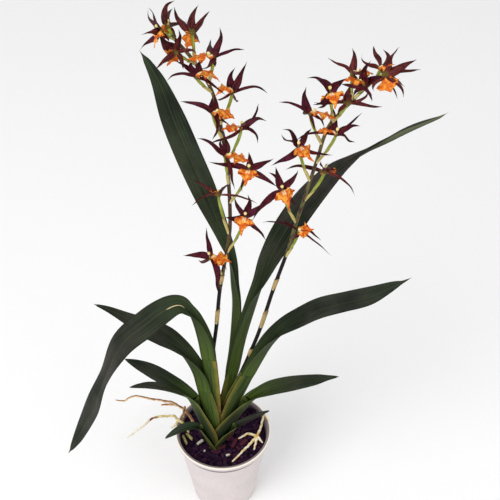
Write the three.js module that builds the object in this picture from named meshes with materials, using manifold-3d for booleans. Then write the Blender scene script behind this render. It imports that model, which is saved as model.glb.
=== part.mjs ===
// A potted orchid with two flower spikes, in millimetres, +Z up.
// The origin is the middle of the pot's flat base. The fan of leaves lies along X,
// and the flowers lean forward, towards -Y.
import * as THREE from 'three';
import { mergeVertices } from 'three/addons/utils/BufferGeometryUtils.js';
import Module from 'manifold-3d';

const wasm = await Module();
wasm.setup();
const { degToRad } = THREE.MathUtils;

// Driving dimensions
const POT_RIM_RADIUS = 60;
const POT_BASE_RADIUS = 40;
const POT_HEIGHT = 116;
const POT_WALL = 1.5;
const POT_BAND_HEIGHT = 6;
const POT_BAND_STEP = 2.6;
const POT_FLOOR = 2;
const POT_SIDES = 36;
const DRAIN_RADIUS = 4.5;
const DRAIN_CIRCLE = 26;
const DRAIN_COUNT = 6;
const SOIL_TOP = 104;
const SOIL_RELIEF = 0.7;
const SOIL_SHOULDER = 2;
const SOIL_RINGS = [0.8, 0.6, 0.4, 0];
const CHIP_COUNT = 14;
const GAP = 0.3;
const SIMPLE_WITHIN = 0.05;
const FOOT = new THREE.Vector3(-12, -8, SOIL_TOP);
const FOOT_RADIUS = 9;
const FOOT_DEPTH = 20;
const FOOT_TAPER = 2;
const STEM_RADIUS = 2;
const STEM_SIDES = 6;
const STEM_STEPS = 24;
const STALK_RADIUS = 1.3;
const STALK_SIDES = 4;
const STALK_STEPS = 4;
const BRACT_RADIUS = 2.7;
const BRACT_LENGTH = 16;
const TEPAL_LENGTH = 36;
const TEPAL_HALF_WIDTH = 2.7;
const TEPAL_THICKNESS = 0.9;
const LIP_LENGTH = 22;
const LIP_HALF_WIDTH = 9.5;
const LIP_THICKNESS = 1.2;
const LIP_ARCH = 2.5;
const LEAST_SPARE = 9;
const COLUMN_LENGTH = 8;
const COLUMN_TIP_RADIUS = 1.3;
const COLUMN_FOOT_RADIUS = 1.6;
const HEART_RADIUS = 2.6;
const HEART_SINK = 1.1;
const ROOT_RADIUS = 1.5;
const ROOT_SIDES = 5;

// The plant was measured from one picture, 500 steps across, seen from this point along
// an axis tilted down. A place is given by its step across, its step down and its depth Y.
const EYE = new THREE.Vector3(34.1, -800.4, 1140.4);
const EYE_TILT = degToRad(41.93);
const EYE_FOCAL = 1013.3;
const EYE_MIDDLE = 250;
const AXIS = new THREE.Vector3(0, Math.cos(EYE_TILT), -Math.sin(EYE_TILT));
const ACROSS = new THREE.Vector3(1, 0, 0);
const RISE = new THREE.Vector3().crossVectors(ACROSS, AXIS);

const COLOURS = {
  pot: 0xe4dfe2,
  soil: 0x24161f,
  crown: 0x5c6b25,
  leaf: 0x2f4427,
  spike: 0x5a5a2a,
  bloom: 0x6b1f2b,
  root: 0xd2a877,
};

// Leaves from foot to tip: step across, step down, depth, half width, fold in degrees and
// the direction its upper side faces. The blade begins at the row of its joint.
const LEAVES = {
  leaf_tall_left: {
    joint: 3,
    rows: [
      [214, 446, -8, 8, 82, 1, 0, 0.1],
      [217, 425, -4, 12, 82, 1, 0, 0.1],
      [222, 396, 4, 14, 82, 1, -0.1, 0.1],
      [226, 374, 9, 14, 81, 1, -0.1, 0.1],
      [230.5, 346, 12, 13, 80, 1, -0.1, 0.1],
      [233.5, 306, 15, 9.5, 75, 1, -0.2, 0.1],
      [232, 284, 17, 8.5, 66, 1, -0.35, 0.1],
      [230, 262, 20, 8.5, 50, 0.8, -0.6, 0.15],
      [222, 232, 25, 9.5, 26, 0.25, -1, 0.2],
      [206, 194, 31, 13.5, 15, 0.05, -1, 0.2],
      [188.5, 153, 39, 14.5, 10, 0, -1, 0.15],
      [172.5, 117, 46, 13, 8, -0.05, -1, 0.15],
      [158, 84, 52, 8.5, 6, -0.05, -1, 0.15],
      [147, 64, 56, 5, 4, -0.05, -1, 0.15],
      [139, 50, 59, 0.8, 0, -0.05, -1, 0.15],
    ],
  },
  leaf_tall_right: {
    joint: 3,
    rows: [
      [216, 446, -8, 8, 82, -1, 0, 0.1],
      [222, 428, -7, 12, 82, -1, 0, 0.1],
      [230.5, 397, -2, 13, 82, -1, -0.1, 0.1],
      [237, 374, 1, 14, 81, -1, -0.1, 0.1],
      [245, 338, 4, 13.5, 78, -1, -0.15, 0.1],
      [255.5, 304, 8, 12.5, 66, -1, -0.3, 0.1],
      [263, 282, 12, 12, 46, -0.8, -0.7, 0.15],
      [271, 257, 17, 13, 27, -0.5, -0.9, 0.2],
      [286, 230, 24, 15, 15, -0.3, -1, 0.25],
      [306, 201, 32, 14.5, 12, -0.2, -1, 0.35],
      [332, 174, 40, 11, 14, -0.2, -0.8, 0.6],
      [360, 154, 48, 8.5, 26, -0.25, 0.1, 1],
      [381, 144, 54, 8, 24, -0.2, 0.6, 0.8],
      [402, 135.5, 60, 7.5, 18, -0.2, 0.75, 0.6],
      [422, 126, 65, 5.5, 10, -0.2, 0.75, 0.6],
      [438, 118, 69, 3, 4, -0.2, 0.75, 0.6],
      [449, 112, 72, 0.8, 0, -0.2, 0.75, 0.6],
    ],
  },
  leaf_arch_left: {
    joint: 3,
    rows: [
      [213, 446, -10, 7, 82, 1, 0, 0.1],
      [211, 420, -11, 12, 82, 1, 0, 0.1],
      [206, 388, -13, 15, 81, 1, 0, 0.1],
      [202.5, 359, -14, 17, 80, 1, -0.1, 0.1],
      [199, 340, -14, 16.5, 76, 1, -0.1, 0.2],
      [194, 320, -15, 14, 62, 0.9, -0.2, 0.45],
      [188.5, 309, -17, 11.5, 40, 0.45, -0.4, 0.8],
      [179, 305.5, -20, 11.5, 24, 0, -0.45, 0.9],
      [167, 309.5, -24, 14.5, 12, -0.25, -0.45, 0.85],
      [148, 323, -30, 17, 8, -0.4, -0.5, 0.75],
      [122, 345, -38, 16, 8, -0.6, -0.5, 0.6],
      [105, 378, -46, 12, 10, -0.85, -0.4, 0.3],
      [93, 408, -52, 11, 10, -0.85, -0.5, 0.2],
      [80, 433, -57, 8, 8, -0.85, -0.5, 0.1],
      [68.4, 453.4, -62, 0.8, 0, -0.85, -0.5, 0.1],
    ],
  },
  leaf_arch_right: {
    joint: 3,
    rows: [
      [217, 446, -10, 7, 82, -1, 0, 0.1],
      [229, 421, -12, 13, 82, -1, 0, 0.1],
      [241, 399, -13, 16, 82, -1, -0.05, 0.15],
      [253, 376, -14, 16.5, 80, -1, -0.1, 0.2],
      [261.5, 360.5, -15, 16, 76, -0.95, -0.15, 0.4],
      [272, 346, -17, 15.5, 62, -0.85, -0.2, 0.6],
      [285, 333.5, -20, 15, 42, -0.6, -0.2, 0.8],
      [300, 323, -22, 15.5, 22, -0.4, -0.1, 0.95],
      [320, 312, -25, 16.5, 14, -0.25, -0.05, 1],
      [345, 304.5, -29, 16.5, 10, -0.15, 0, 1],
      [372, 296.5, -33, 14, 8, -0.15, 0, 1],
      [393, 287, -36, 8, 6, -0.2, 0, 1],
      [403, 282, -38, 2.5, 0, -0.2, 0, 1],
      [412, 277.4, -39, 0.8, 0, -0.2, 0, 1],
    ],
  },
  leaf_low_right: {
    joint: 3,
    rows: [
      [218, 446, -11, 7, 74, -1, 0, 0.2],
      [229, 430, -14, 13, 68, -0.9, 0, 0.4],
      [242, 413, -16, 15, 68, -0.9, -0.1, 0.5],
      [253, 400.5, -18, 13, 66, -0.8, -0.2, 0.6],
      [262, 394.5, -22, 11.5, 50, -0.6, -0.2, 0.8],
      [275, 389, -24, 12, 25, -0.3, -0.1, 0.95],
      [295, 384.5, -28, 12.5, 12, -0.15, 0, 1],
      [316, 380.5, -33, 8.5, 8, -0.1, 0, 1],
      [328, 378, -36, 4, 4, -0.1, 0, 1],
      [339, 376.5, -38, 0.8, 0, -0.1, 0, 1],
    ],
  },
  leaf_mid_left: {
    joint: 3,
    rows: [
      [212, 444, -10, 9, 76, 1, 0, 0.1],
      [206, 422, -12, 17, 74, 1, 0, 0.15],
      [201, 402, -13, 19, 73, 1, -0.05, 0.2],
      [198, 390, -13, 19, 73, 1, -0.1, 0.25],
      [194.5, 375, -12, 17.5, 70, 0.95, -0.1, 0.35],
      [187, 361, -9, 15.5, 60, 0.8, -0.15, 0.6],
      [177, 349, -4, 15, 38, 0.5, -0.2, 0.85],
      [163, 337.5, 4, 15.5, 18, 0.2, -0.2, 0.95],
      [145, 328.5, 9, 14, 10, 0.1, -0.1, 1],
      [126, 318.5, 14, 9, 8, 0.1, 0, 1],
      [108, 309.5, 19, 5, 6, 0.1, 0, 1],
      [93.6, 304, 22, 0.8, 0, 0.1, 0, 1],
    ],
  },
  leaf_low_left: {
    joint: 3,
    rows: [
      [210, 446, -12, 8, 70, 1, 0, 0.2],
      [203, 429, -13, 16, 65, 1, -0.1, 0.3],
      [195, 412, -14, 17, 65, 0.9, -0.15, 0.4],
      [189, 400, -15, 14, 66, 0.8, -0.2, 0.5],
      [180, 391, -16, 12.5, 52, 0.6, -0.2, 0.75],
      [168, 383, -17, 12, 30, 0.3, -0.2, 0.9],
      [152, 373, -19, 12, 14, 0.1, -0.1, 1],
      [138, 365.5, -21, 7.5, 8, 0.1, -0.1, 1],
      [124.6, 359, -23, 0.8, 0, 0.1, -0.1, 1],
    ],
  },
  leaf_lowest_left: {
    joint: 2,
    rows: [
      [209, 444, -6, 6, 78, 1, 0, 0.2],
      [198, 416, -4, 8, 74, 0.9, 0, 0.5],
      [190, 400, -3, 8, 62, 0.7, -0.1, 0.7],
      [178, 393.5, -2, 8, 42, 0.4, 0, 0.9],
      [162, 388.5, 0, 8, 26, 0.1, 0.1, 1],
      [148, 386, 2, 6.5, 15, 0, 0.1, 1],
      [138, 386, 4, 4, 6, 0, 0.1, 1],
      [129.2, 387.3, 5, 0.8, 0, 0, 0.1, 1],
    ],
  },
  leaf_small_left: {
    joint: 2,
    rows: [
      [211, 447, -14, 6, 66, 0.9, 0, 0.3],
      [204, 435.5, -18, 8.5, 62, 0.6, -0.2, 0.7],
      [197, 427, -22, 6.5, 55, 0.3, -0.4, 0.8],
      [187, 427, -26, 6, 28, 0, -0.4, 0.9],
      [177, 431, -30, 5, 14, -0.3, -0.3, 0.9],
      [170, 435, -32, 3, 6, -0.4, -0.3, 0.9],
      [165, 438.5, -34, 0.8, 0, -0.4, -0.3, 0.9],
    ],
  },
  leaf_small_right: {
    joint: 2,
    rows: [
      [219, 446, -14, 6, 66, -0.9, 0, 0.3],
      [230, 434, -18, 9, 64, -0.7, -0.1, 0.7],
      [239, 425.5, -22, 7, 58, -0.5, -0.4, 0.8],
      [248, 420, -25, 4.6, 34, -0.2, -0.3, 0.9],
      [256, 416, -28, 3.6, 16, 0, -0.3, 0.9],
      [263, 413, -30, 2.3, 6, 0, -0.3, 0.9],
      [269.5, 410.7, -32, 0.8, 0, 0, -0.3, 0.9],
    ],
  },
};

// Flower stems from the soil to the tip: step across, step down, depth.
const STEMS = {
  left: [
    [212, 436, -7], [211.5, 412, -5], [211, 385, -4], [213, 352, -3], [216.5, 325, -3], [219.5, 292, -4],
    [224, 266, -6], [228, 245, -8], [230, 224, -10], [229.5, 198, -12], [228, 175, -14], [226, 154, -16],
    [222, 135, -18], [219, 115, -20], [214, 97, -22], [208, 83, -24], [199, 69, -26], [189, 55, -28],
    [179, 44, -30], [172, 36, -31],
  ],
  right: [
    [218, 436, -7], [225, 412, -5], [234, 388, -4], [247, 360, -3], [260, 329, -4], [273, 290, -6],
    [285, 258, -8], [291, 240, -10], [297, 220, -12], [304, 200, -14], [311, 178, -16], [318, 157, -18],
    [323, 140, -20], [329, 126, -22], [339, 114, -24], [350, 103, -26], [361, 92, -28], [372, 82, -30],
    [378, 77, -31],
  ],
};

// Pale bracts at the stems' nodes, by their share of the stem's length from the soil.
const BRACTS = { left: [0.2, 0.34, 0.42], right: [0.19, 0.31, 0.44, 0.52] };

// Blooms. heart: step across, step down and depth. foot: where its stalk leaves the stem.
// face: the way it looks, as parts across, up and towards the viewer. lip: steps across and
// up to the lip's tip, and how much it leans to the viewer. tepals: the same for each tip,
// and how far the tepal bows to its left.
const BLOOMS = {
  bloom_left_01: {
    heart: [161.8, 31.4, -33], foot: [174, 39], face: [-0.8, 0.1, 0.4], lip: [-8, -17, 0.2],
    tepals: [[-16, 24, 0.1, 3], [-13, 24, 0.5, -2], [-19, -4, 0.4, -1], [-22, -18, -0.5, 2], [8, -13, 0.2, 1]],
  },
  bloom_left_02: {
    heart: [168, 27, -27], foot: [176, 41], face: [-0.2, 0.3, -0.8], lip: [-6, -17, -0.5],
    tepals: [[4.6, 27, -0.2, -3], [5, 19, -0.9, 1], [-2, 14, -1, 1], [10, -13, -0.7, 1], [15, 4, -0.8, -1]],
  },
  bloom_left_03: {
    heart: [192, 33, -32], foot: [196, 64], face: [-0.3, -0.1, -0.85], lip: [-7, -20, 0.3],
    tepals: [[5, 29, -0.2, -1], [-18, 25, -0.2, -3], [16, 21, -0.5, 2], [6, -11, -1, 4], [-5, 9, -1, 0]],
  },
  bloom_left_04: {
    heart: [176.7, 52.8, -38], foot: [191, 64], face: [-0.9, 0, 0.3], lip: [-3, -18, 0.3],
    tepals: [[5, 22, 0.6, 2], [-16, 20, -0.4, 2], [-18, -17, 0.4, -1], [24, 0, 0.5, -4], [14, -3, -0.1, 1]],
  },
  bloom_left_05: {
    heart: [213.5, 58, -36], foot: [216, 84], face: [-0.9, 0.4, 0.05], lip: [-27, -3, 0.1],
    tepals: [[9, 30, -0.1, 3], [-2, 17, -0.9, 2], [31, 10.5, -0.2, 2], [-12, -11, 0.8, 1], [4, -7, 0, 0]],
  },
  bloom_left_06: {
    heart: [196.2, 77.5, -36], foot: [210.5, 92], face: [0.9, 0.4, 0.05], lip: [24, -4, 0.2],
    tepals: [[-5, 20, -0.6, 2], [3, 16, 0.9, 0], [-19.5, 17.6, 0.4, 2], [-30.6, -1.5, -0.2, -3], [27, -18, 0.3, 5]],
  },
  bloom_left_07: {
    heart: [232, 93.3, -34], foot: [221, 124], face: [-0.8, 0.4, 0.1], lip: [-16, -4, 0.4],
    tepals: [[14.5, 31, 0.1, -2], [2.7, 26.7, -0.4, -2], [36, 1, 0, 5], [-16, -6.5, 0.7, 2], [6.6, -8.5, -0.8, 3]],
  },
  bloom_left_08: {
    heart: [212.5, 113.7, -32], foot: [223.5, 140], face: [0.7, 0.3, 0.4], lip: [23, -8, 0.6],
    tepals: [[-32, 12, 0, -3], [-1, 17, -0.7, 1], [3, 14, 0.7, 0], [2, -27, 0.4, 6], [16, -12, -0.4, 0]],
  },
  bloom_left_09: {
    heart: [241.2, 129.2, -30], foot: [227.5, 162], face: [-0.6, 0.4, 0.35], lip: [-19.5, -1, 0.4],
    tepals: [[21, 24.5, -0.2, -3], [26, 11, 0.3, 3], [18.4, -14, -0.3, 4], [-31.7, -11.4, -0.1, 3], [0, 8, 0.9, 0]],
  },
  bloom_left_10: {
    heart: [225, 156.5, -24], foot: [229, 184], face: [0.8, 0.3, 0.3], lip: [23, -6, 0.6],
    tepals: [[-2, 27, 0, -4], [-7, 15, 0.8, 1], [-28, 17, 0, -3], [8, -33, 0.3, 4], [10, 3, 0, 0]],
  },
  bloom_left_11: {
    heart: [248.9, 170.3, -31], foot: [230.5, 203], face: [-0.15, 0.15, 0.95], lip: [-4, -16, 0.3],
    tepals: [[1, 18, -0.5, 0], [25.6, 12, -0.2, 1], [27.5, -17.6, -0.1, 1], [-40, 8, 0, -2], [-9, -20, -0.3, 1]],
  },
  bloom_left_12: {
    heart: [218.3, 195.5, -20], foot: [229.5, 234], face: [-0.3, 0.4, -0.7], lip: [-9, 5, -0.7],
    tepals: [[-24.5, 18, -0.2, 0], [-27, -9, -0.2, 4], [38, -11.5, 0, 5], [12, 14, -0.6, 1], [6, 5, -1, 0]],
  },
  bloom_left_13: {
    heart: [245, 217.5, -18], foot: [227, 253], face: [-0.1, 0.15, 0.95], lip: [-5, -18.5, 0.3],
    tepals: [[5, 24, -0.3, -2], [-9.5, 20.7, 0.3, 1], [25.7, 18.5, 0.1, 0], [-19, 1, -0.2, 1], [23, -21, 0, 0]],
  },
  bloom_left_14: {
    heart: [210.7, 258.1, -16], foot: [222, 274], face: [0.6, 0.1, 0.75], lip: [24, -4, 0.3],
    tepals: [[-4, 31, -0.1, 1], [-27.5, 4, 0.1, -2], [-13, -2, -0.9, 0], [4, -38, 0.1, 4], [16, -13, -0.4, 0]],
  },
  bloom_right_01: {
    heart: [384, 74, -34], foot: [377, 78], face: [0.3, -0.2, 0.9], lip: [5, -20, 0.3],
    tepals: [[1, 25, 0.1, -2], [32, 16, 0.2, -2], [36, 3, 0, 2], [-8, -20, -0.2, -1], [20, -23, 0.3, 2]],
  },
  bloom_right_02: {
    heart: [380.5, 69, -25], foot: [374, 81], face: [0.6, 0.4, -0.4], lip: [17, 3, 0.2],
    tepals: [[-8, 24, -0.3, -2], [-18, 16, -0.3, 4], [23, 20, -0.3, -1], [25, -16, -0.6, 1], [17, -30, -0.3, -1]],
  },
  bloom_right_03: {
    heart: [364.3, 84.4, -32], foot: [356, 98], face: [-0.7, 0.35, 0.3], lip: [-20, 3, 0.9],
    tepals: [[5, 25, -0.6, 0], [-22, 3, 0, 2], [16, 8, 0.7, 1], [-11, -12, 0, 1], [5, -18, -0.1, 0]],
  },
  bloom_right_04: {
    heart: [352, 74.4, -28], foot: [352, 101], face: [0.7, 0.4, 0.1], lip: [22, 0, 0.2],
    tepals: [[-4, 27, 0.1, -3], [-24, 14, 0.1, -4], [-6, 8, -1, 0], [10, 6, 0.9, 0], [2, -17, -1, 4.5]],
  },
  bloom_right_05: {
    heart: [330.6, 93.6, -32], foot: [333.5, 121], face: [0.1, 0.4, 0.85], lip: [6.5, -15, 0.5],
    tepals: [[-13, 15, 0.4, -2], [-23, 17, -0.2, -3], [15, 17, 0, 1], [-17, -10, 0.4, 2], [-12, -16, 0, 2]],
  },
  bloom_right_06: {
    heart: [347.4, 103.5, -31], foot: [333, 122], face: [0.6, 0.3, -0.2], lip: [9, 9, 0.7],
    tepals: [[3, 22, 0.3, 1], [35, -5, 0.1, 2], [-29, -5, 0.2, -3], [24, 11, 0.1, -2.5], [-4, -15, 0, 0]],
  },
  bloom_right_07: {
    heart: [310, 114.2, -27], foot: [322, 144], face: [0.9, 0.4, 0.05], lip: [26, -4, 0.2],
    tepals: [[-7, 26, 0.2, 1], [-31, 11, 0, 1], [-8, 4, -1, 0], [14, -14, 0.4, 4], [4, -15, 0.1, 0]],
  },
  bloom_right_08: {
    heart: [336, 134.9, -30], foot: [320, 163], face: [-0.7, 0.4, 0.1], lip: [-16, 2, 0.3],
    tepals: [[-3, 21, -0.4, 1], [24.5, 22, 0, -3], [24, 9, 0.4, 2], [18, -9, -0.5, 2], [-39, -5, 0.1, -4]],
  },
  bloom_right_09: {
    heart: [298.9, 147.8, -28], foot: [309, 181], face: [0.4, 0.4, 0.8], lip: [14, -15, 0.4],
    tepals: [[-15, 20, 0.2, -1], [-18, 14, -0.5, -1], [10, 21, 0, 1], [-27.6, -18, 0.2, 3], [34, -7, -0.1, -4]],
  },
  bloom_right_10: {
    heart: [324.4, 172.2, -15], foot: [304, 201], face: [0.6, 0.3, -0.6], lip: [12, -1, -0.5],
    tepals: [[-3, 12, 0.7, 0], [-39, 3, 0.1, -3], [31.6, -22.5, 0.2, 4], [5, 10, -0.6, 0], [12, 4, 0.7, 0]],
  },
  bloom_right_11: {
    heart: [282.6, 190.6, -23], foot: [296, 223], face: [0.15, 0.15, 0.95], lip: [8, -19, 0.3],
    tepals: [[-7, 23.5, -0.2, 1], [14, 21, -0.1, 0], [-14, 18, -0.3, -4], [-32, -28, 0.1, -2], [14, -18, -0.3, 0]],
  },
  bloom_right_12: {
    heart: [298.9, 231.4, -20], foot: [285, 257], face: [0.5, 0.6, 0.5], lip: [15, 1, 0.5],
    tepals: [[-36, 8, 0, -4], [-23, 16, -0.2, -1], [34, -23, 0.1, 2], [21, -9, 0.5, 4], [-6, -12, -0.3, -1.5]],
  },
};

// Aerial roots and roots on the soil: step across, step down, depth.
const ROOTS = {
  root_aerial_upper: [
    [[196, 428, 13], [191, 418, 22], [186, 411.5, 26], [181, 407.5, 31], [172, 402.5, 36], [158, 400, 42],
      [146, 398, 46], [137, 396, 49], [129, 398, 50], [124, 401, 50], [115, 400, 52]],
    [[178, 405, 33], [170, 404.5, 35], [161, 405, 38]],
  ],
  root_aerial_lower: [
    [[189, 433, 3], [185.5, 426, 6], [178, 419.5, 9], [173, 416, 15], [160, 416.5, 18], [153, 418, 18],
      [149, 421, 16], [142, 427, 12], [127, 438, 4]],
    [[178, 419.5, 9], [176, 424.5, 7], [171, 428, 7]],
  ],
  root_on_soil: [
    [[257, 436, -2], [248, 434, 1], [238, 439, -6.5]],
    [[257, 436, -2], [251, 443, -12.8], [245, 449, -22.2], [232, 462, -44]],
    [[257, 436, -2], [261, 427, 10.5], [264, 416, 19], [270, 421, 12.3]],
    [[257, 436, -2], [263, 443, -12.7]],
    [[257, 436, -2], [256, 442, -11.2], [254, 450, -23.6]],
  ],
};

const LEAF_COLUMNS = [-1, -0.55, 0, 0.55, 1];
const LEAF_MARGIN_THICKNESS = 0.9;
const LEAF_RIB_THICKNESS = 1.6;
const KEEL_DEPTH_LIMIT = 2;

function atDepth(px, py, depth) {
  const across = ((px - EYE_MIDDLE) / EYE_FOCAL) * depth;
  const rise = ((EYE_MIDDLE - py) / EYE_FOCAL) * depth;
  return EYE.clone()
    .addScaledVector(AXIS, depth)
    .addScaledVector(ACROSS, across)
    .addScaledVector(RISE, rise);
}

function seen(px, py, y) {
  const ray = atDepth(px, py, 1).sub(EYE);
  return EYE.clone().addScaledVector(ray, (y - EYE.y) / ray.y);
}

function depthOf(point) {
  return point.clone().sub(EYE).dot(AXIS);
}

// Solids

function toSolid(geometry) {
  const bare = new THREE.BufferGeometry();
  bare.setAttribute('position', geometry.getAttribute('position'));
  bare.setIndex(geometry.index);
  const merged = mergeVertices(bare, 1e-4);
  return new wasm.Manifold(
    new wasm.Mesh({
      numProp: 3,
      vertProperties: Float32Array.from(merged.getAttribute('position').array),
      triVerts: Uint32Array.from(merged.index.array),
    }),
  );
}

function toGeometry(solid) {
  const mesh = solid.getMesh();
  const geometry = new THREE.BufferGeometry();
  geometry.setAttribute('position', new THREE.BufferAttribute(mesh.vertProperties.slice(), 3));
  geometry.setIndex(new THREE.BufferAttribute(mesh.triVerts.slice(), 1));
  return geometry;
}

function joined(solids) {
  return solids.reduce((whole, next) => whole.add(next));
}

function cut(solid, cutters) {
  return cutters.reduce((whole, cutter) => whole.subtract(cutter), solid);
}

function largestBody(solid) {
  const bodies = solid.decompose();
  return bodies.reduce((best, next) => (next.volume() > best.volume() ? next : best));
}

// A skin over rings of points that run clockwise when seen along the path. The first
// `front` points of a ring are its upper side, split into triangles as its lower side is.
function loft(rings, front) {
  const count = rings[0].length;
  const points = rings.flat();
  const index = [];
  const quad = (a, b, c, d, flip) => {
    if (flip) index.push(a, b, d, b, c, d);
    else index.push(a, b, c, a, c, d);
  };
  for (let i = 0; i + 1 < rings.length; i += 1) {
    for (let k = 0; k < count; k += 1) {
      const next = (k + 1) % count;
      const here = i * count;
      const there = here + count;
      quad(here + k, here + next, there + next, there + k, k >= front);
    }
  }
  const last = (rings.length - 1) * count;
  for (let k = 0; k + 1 < Math.ceil(count / 2); k += 1) {
    const low = count - 1 - k;
    const corners = [k, k + 1, low - 1, low];
    const [a, b, c, d] = corners;
    if (b === c) {
      index.push(d, b, a);
      index.push(last + a, last + b, last + d);
    } else {
      index.push(d, c, b, d, b, a);
      index.push(last + a, last + b, last + c, last + a, last + c, last + d);
    }
  }
  const geometry = new THREE.BufferGeometry();
  geometry.setAttribute('position', new THREE.Float32BufferAttribute(points.flatMap((p) => p.toArray()), 3));
  geometry.setIndex(index);
  return toSolid(geometry);
}

function splineRow(rows, u) {
  const i = Math.min(Math.floor(u), rows.length - 2);
  const t = u - i;
  const b = rows[i];
  const c = rows[i + 1];
  return b.map((_, k) => {
    const before = i > 0 ? rows[i - 1][k] : 2 * b[k] - c[k];
    const after = i + 2 < rows.length ? rows[i + 2][k] : 2 * c[k] - b[k];
    const slopeB = (c[k] - before) / 2;
    const slopeC = (after - b[k]) / 2;
    const lift = 2 * (b[k] - c[k]) + slopeB + slopeC;
    const bow = 3 * (c[k] - b[k]) - 2 * slopeB - slopeC;
    return ((lift * t + bow) * t + slopeB) * t + b[k];
  });
}

// Stations of a leaf between two rows: middle, half width, fold, and its own three axes.
function leafStations(rows, from, to, perRow) {
  const placed = rows.map((row) => [...seen(row[0], row[1], row[2]).toArray(), ...row.slice(3)]);
  const steps = Math.round((to - from) * perRow);
  const list = [];
  const pointAt = (u) => new THREE.Vector3(...splineRow(placed, Math.min(Math.max(u, 0), rows.length - 1)));
  for (let i = 0; i <= steps; i += 1) {
    const u = from + ((to - from) * i) / steps;
    const row = splineRow(placed, u);
    const along = pointAt(u + 0.1).sub(pointAt(u - 0.1)).normalize();
    const face = new THREE.Vector3(row[5], row[6], row[7]);
    face.addScaledVector(along, -face.dot(along)).normalize();
    list.push({
      middle: new THREE.Vector3(row[0], row[1], row[2]),
      half: Math.max(row[3], 0.8),
      fold: degToRad(Math.max(row[4], 0)),
      along,
      face,
      side: new THREE.Vector3().crossVectors(along, face),
    });
  }
  return list;
}

// A blade's ring: two halves folded up about the midrib, thin at the margins.
function leafRing(station, swell) {
  const upper = [];
  const lower = [];
  for (const column of LEAF_COLUMNS) {
    const sign = Math.sign(column);
    const reach = Math.abs(column) * (station.half + swell);
    const out = station.side.clone().multiplyScalar(sign * Math.cos(station.fold));
    out.addScaledVector(station.face, Math.sin(station.fold));
    const thin = LEAF_RIB_THICKNESS + (LEAF_MARGIN_THICKNESS - LEAF_RIB_THICKNESS) * Math.abs(column);
    const thickness = Math.min(thin, station.half * 0.9 + 0.1) / 2 + swell;
    const normal = station.face.clone().multiplyScalar(Math.cos(station.fold));
    normal.addScaledVector(station.side, -sign * Math.sin(station.fold));
    if (sign === 0) {
      const inner = Math.min(thickness / Math.cos(station.fold), KEEL_DEPTH_LIMIT);
      upper.push(station.middle.clone().addScaledVector(station.face, inner));
      lower.unshift(station.middle.clone().addScaledVector(station.face, -thickness));
    } else {
      const place = station.middle.clone().addScaledVector(out, reach);
      upper.push(place.clone().addScaledVector(normal, thickness));
      lower.unshift(place.clone().addScaledVector(normal, -thickness));
    }
  }
  return [...upper, ...lower];
}

function blade(name, swell = 0) {
  const { rows, joint } = LEAVES[name];
  const stations = leafStations(rows, joint, rows.length - 1, 1.5);
  const clear = GAP - swell;
  stations[0].middle.addScaledVector(stations[0].along, clear);
  return loft(stations.map((station) => leafRing(station, swell)), LEAF_COLUMNS.length);
}

// A sheath's ring: the same folded leaf, closed between its two margins.
function sheath(name, swell = 0) {
  const { rows, joint } = LEAVES[name];
  const stations = leafStations(rows, 0, joint, 1);
  const rings = stations.map((station) => leafRing(station, swell).slice(LEAF_COLUMNS.length));
  return loft(rings, 0);
}

// A path that reaches a little further at both ends.
function lengthened(points, more) {
  const last = points.length - 1;
  const reach = (end, before) => end.clone().addScaledVector(end.clone().sub(before).normalize(), more);
  return [reach(points[0], points[1]), ...points.slice(1, last), reach(points[last], points[last - 1])];
}

// A tube along a path; a swollen one is thicker and longer all round.
function tube(points, bareRadius, sides, steps, swell = 0) {
  const radius = bareRadius + swell;
  const outline = new THREE.Shape();
  for (let i = 0; i < sides; i += 1) {
    const angle = (2 * Math.PI * i) / sides;
    const x = radius * Math.cos(angle);
    const y = radius * Math.sin(angle);
    if (i === 0) outline.moveTo(x, y);
    else outline.lineTo(x, y);
  }
  outline.closePath();
  const path = new THREE.CatmullRomCurve3(lengthened(points, swell));
  return toSolid(new THREE.ExtrudeGeometry(outline, { steps, extrudePath: path, bevelEnabled: false }));
}

function mesh(name, solid, colour, roughness) {
  const body = largestBody(solid.asOriginal().simplify(SIMPLE_WITHIN));
  const material = new THREE.MeshStandardMaterial({ color: colour, roughness, metalness: 0 });
  const item = new THREE.Mesh(toGeometry(body), material);
  item.name = name;
  return item;
}

// Pot and soil

function turned(profile, sides) {
  const points = profile.map(([radius, height]) => new THREE.Vector2(radius, height));
  return new THREE.LatheGeometry(points, sides).rotateX(Math.PI / 2);
}

function wallRadius(height) {
  const slope = (POT_RIM_RADIUS - POT_BAND_STEP - POT_BASE_RADIUS) / POT_HEIGHT;
  return POT_BASE_RADIUS + slope * height;
}

function pot() {
  const band = POT_HEIGHT - POT_BAND_HEIGHT;
  const profile = [
    [0, 0],
    [POT_BASE_RADIUS - 1, 0],
    [wallRadius(1), 1],
    [wallRadius(band), band],
    [POT_RIM_RADIUS - 0.6, band + 0.4],
    [POT_RIM_RADIUS, POT_HEIGHT - 1],
    [POT_RIM_RADIUS - 0.8, POT_HEIGHT],
    [POT_RIM_RADIUS - POT_BAND_STEP - POT_WALL, POT_HEIGHT],
    [wallRadius(POT_FLOOR) - POT_WALL, POT_FLOOR],
    [0, POT_FLOOR],
    [0, 0],
  ];
  let body = toSolid(turned(profile, POT_SIDES));
  for (let i = 0; i < DRAIN_COUNT; i += 1) {
    const angle = (2 * Math.PI * i) / DRAIN_COUNT;
    const drain = new THREE.CylinderGeometry(DRAIN_RADIUS, DRAIN_RADIUS, 10, 8).rotateX(Math.PI / 2);
    drain.translate(DRAIN_CIRCLE * Math.cos(angle), DRAIN_CIRCLE * Math.sin(angle), 0);
    body = body.subtract(toSolid(drain));
  }
  return body;
}

function soilHeight(x, y) {
  const broad = Math.sin(x * 0.21 + 1.3) * Math.cos(y * 0.17 - 0.4);
  const fine = Math.sin(x * 0.53 - y * 0.41) * 0.5;
  return SOIL_RELIEF * (broad + fine);
}

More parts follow.
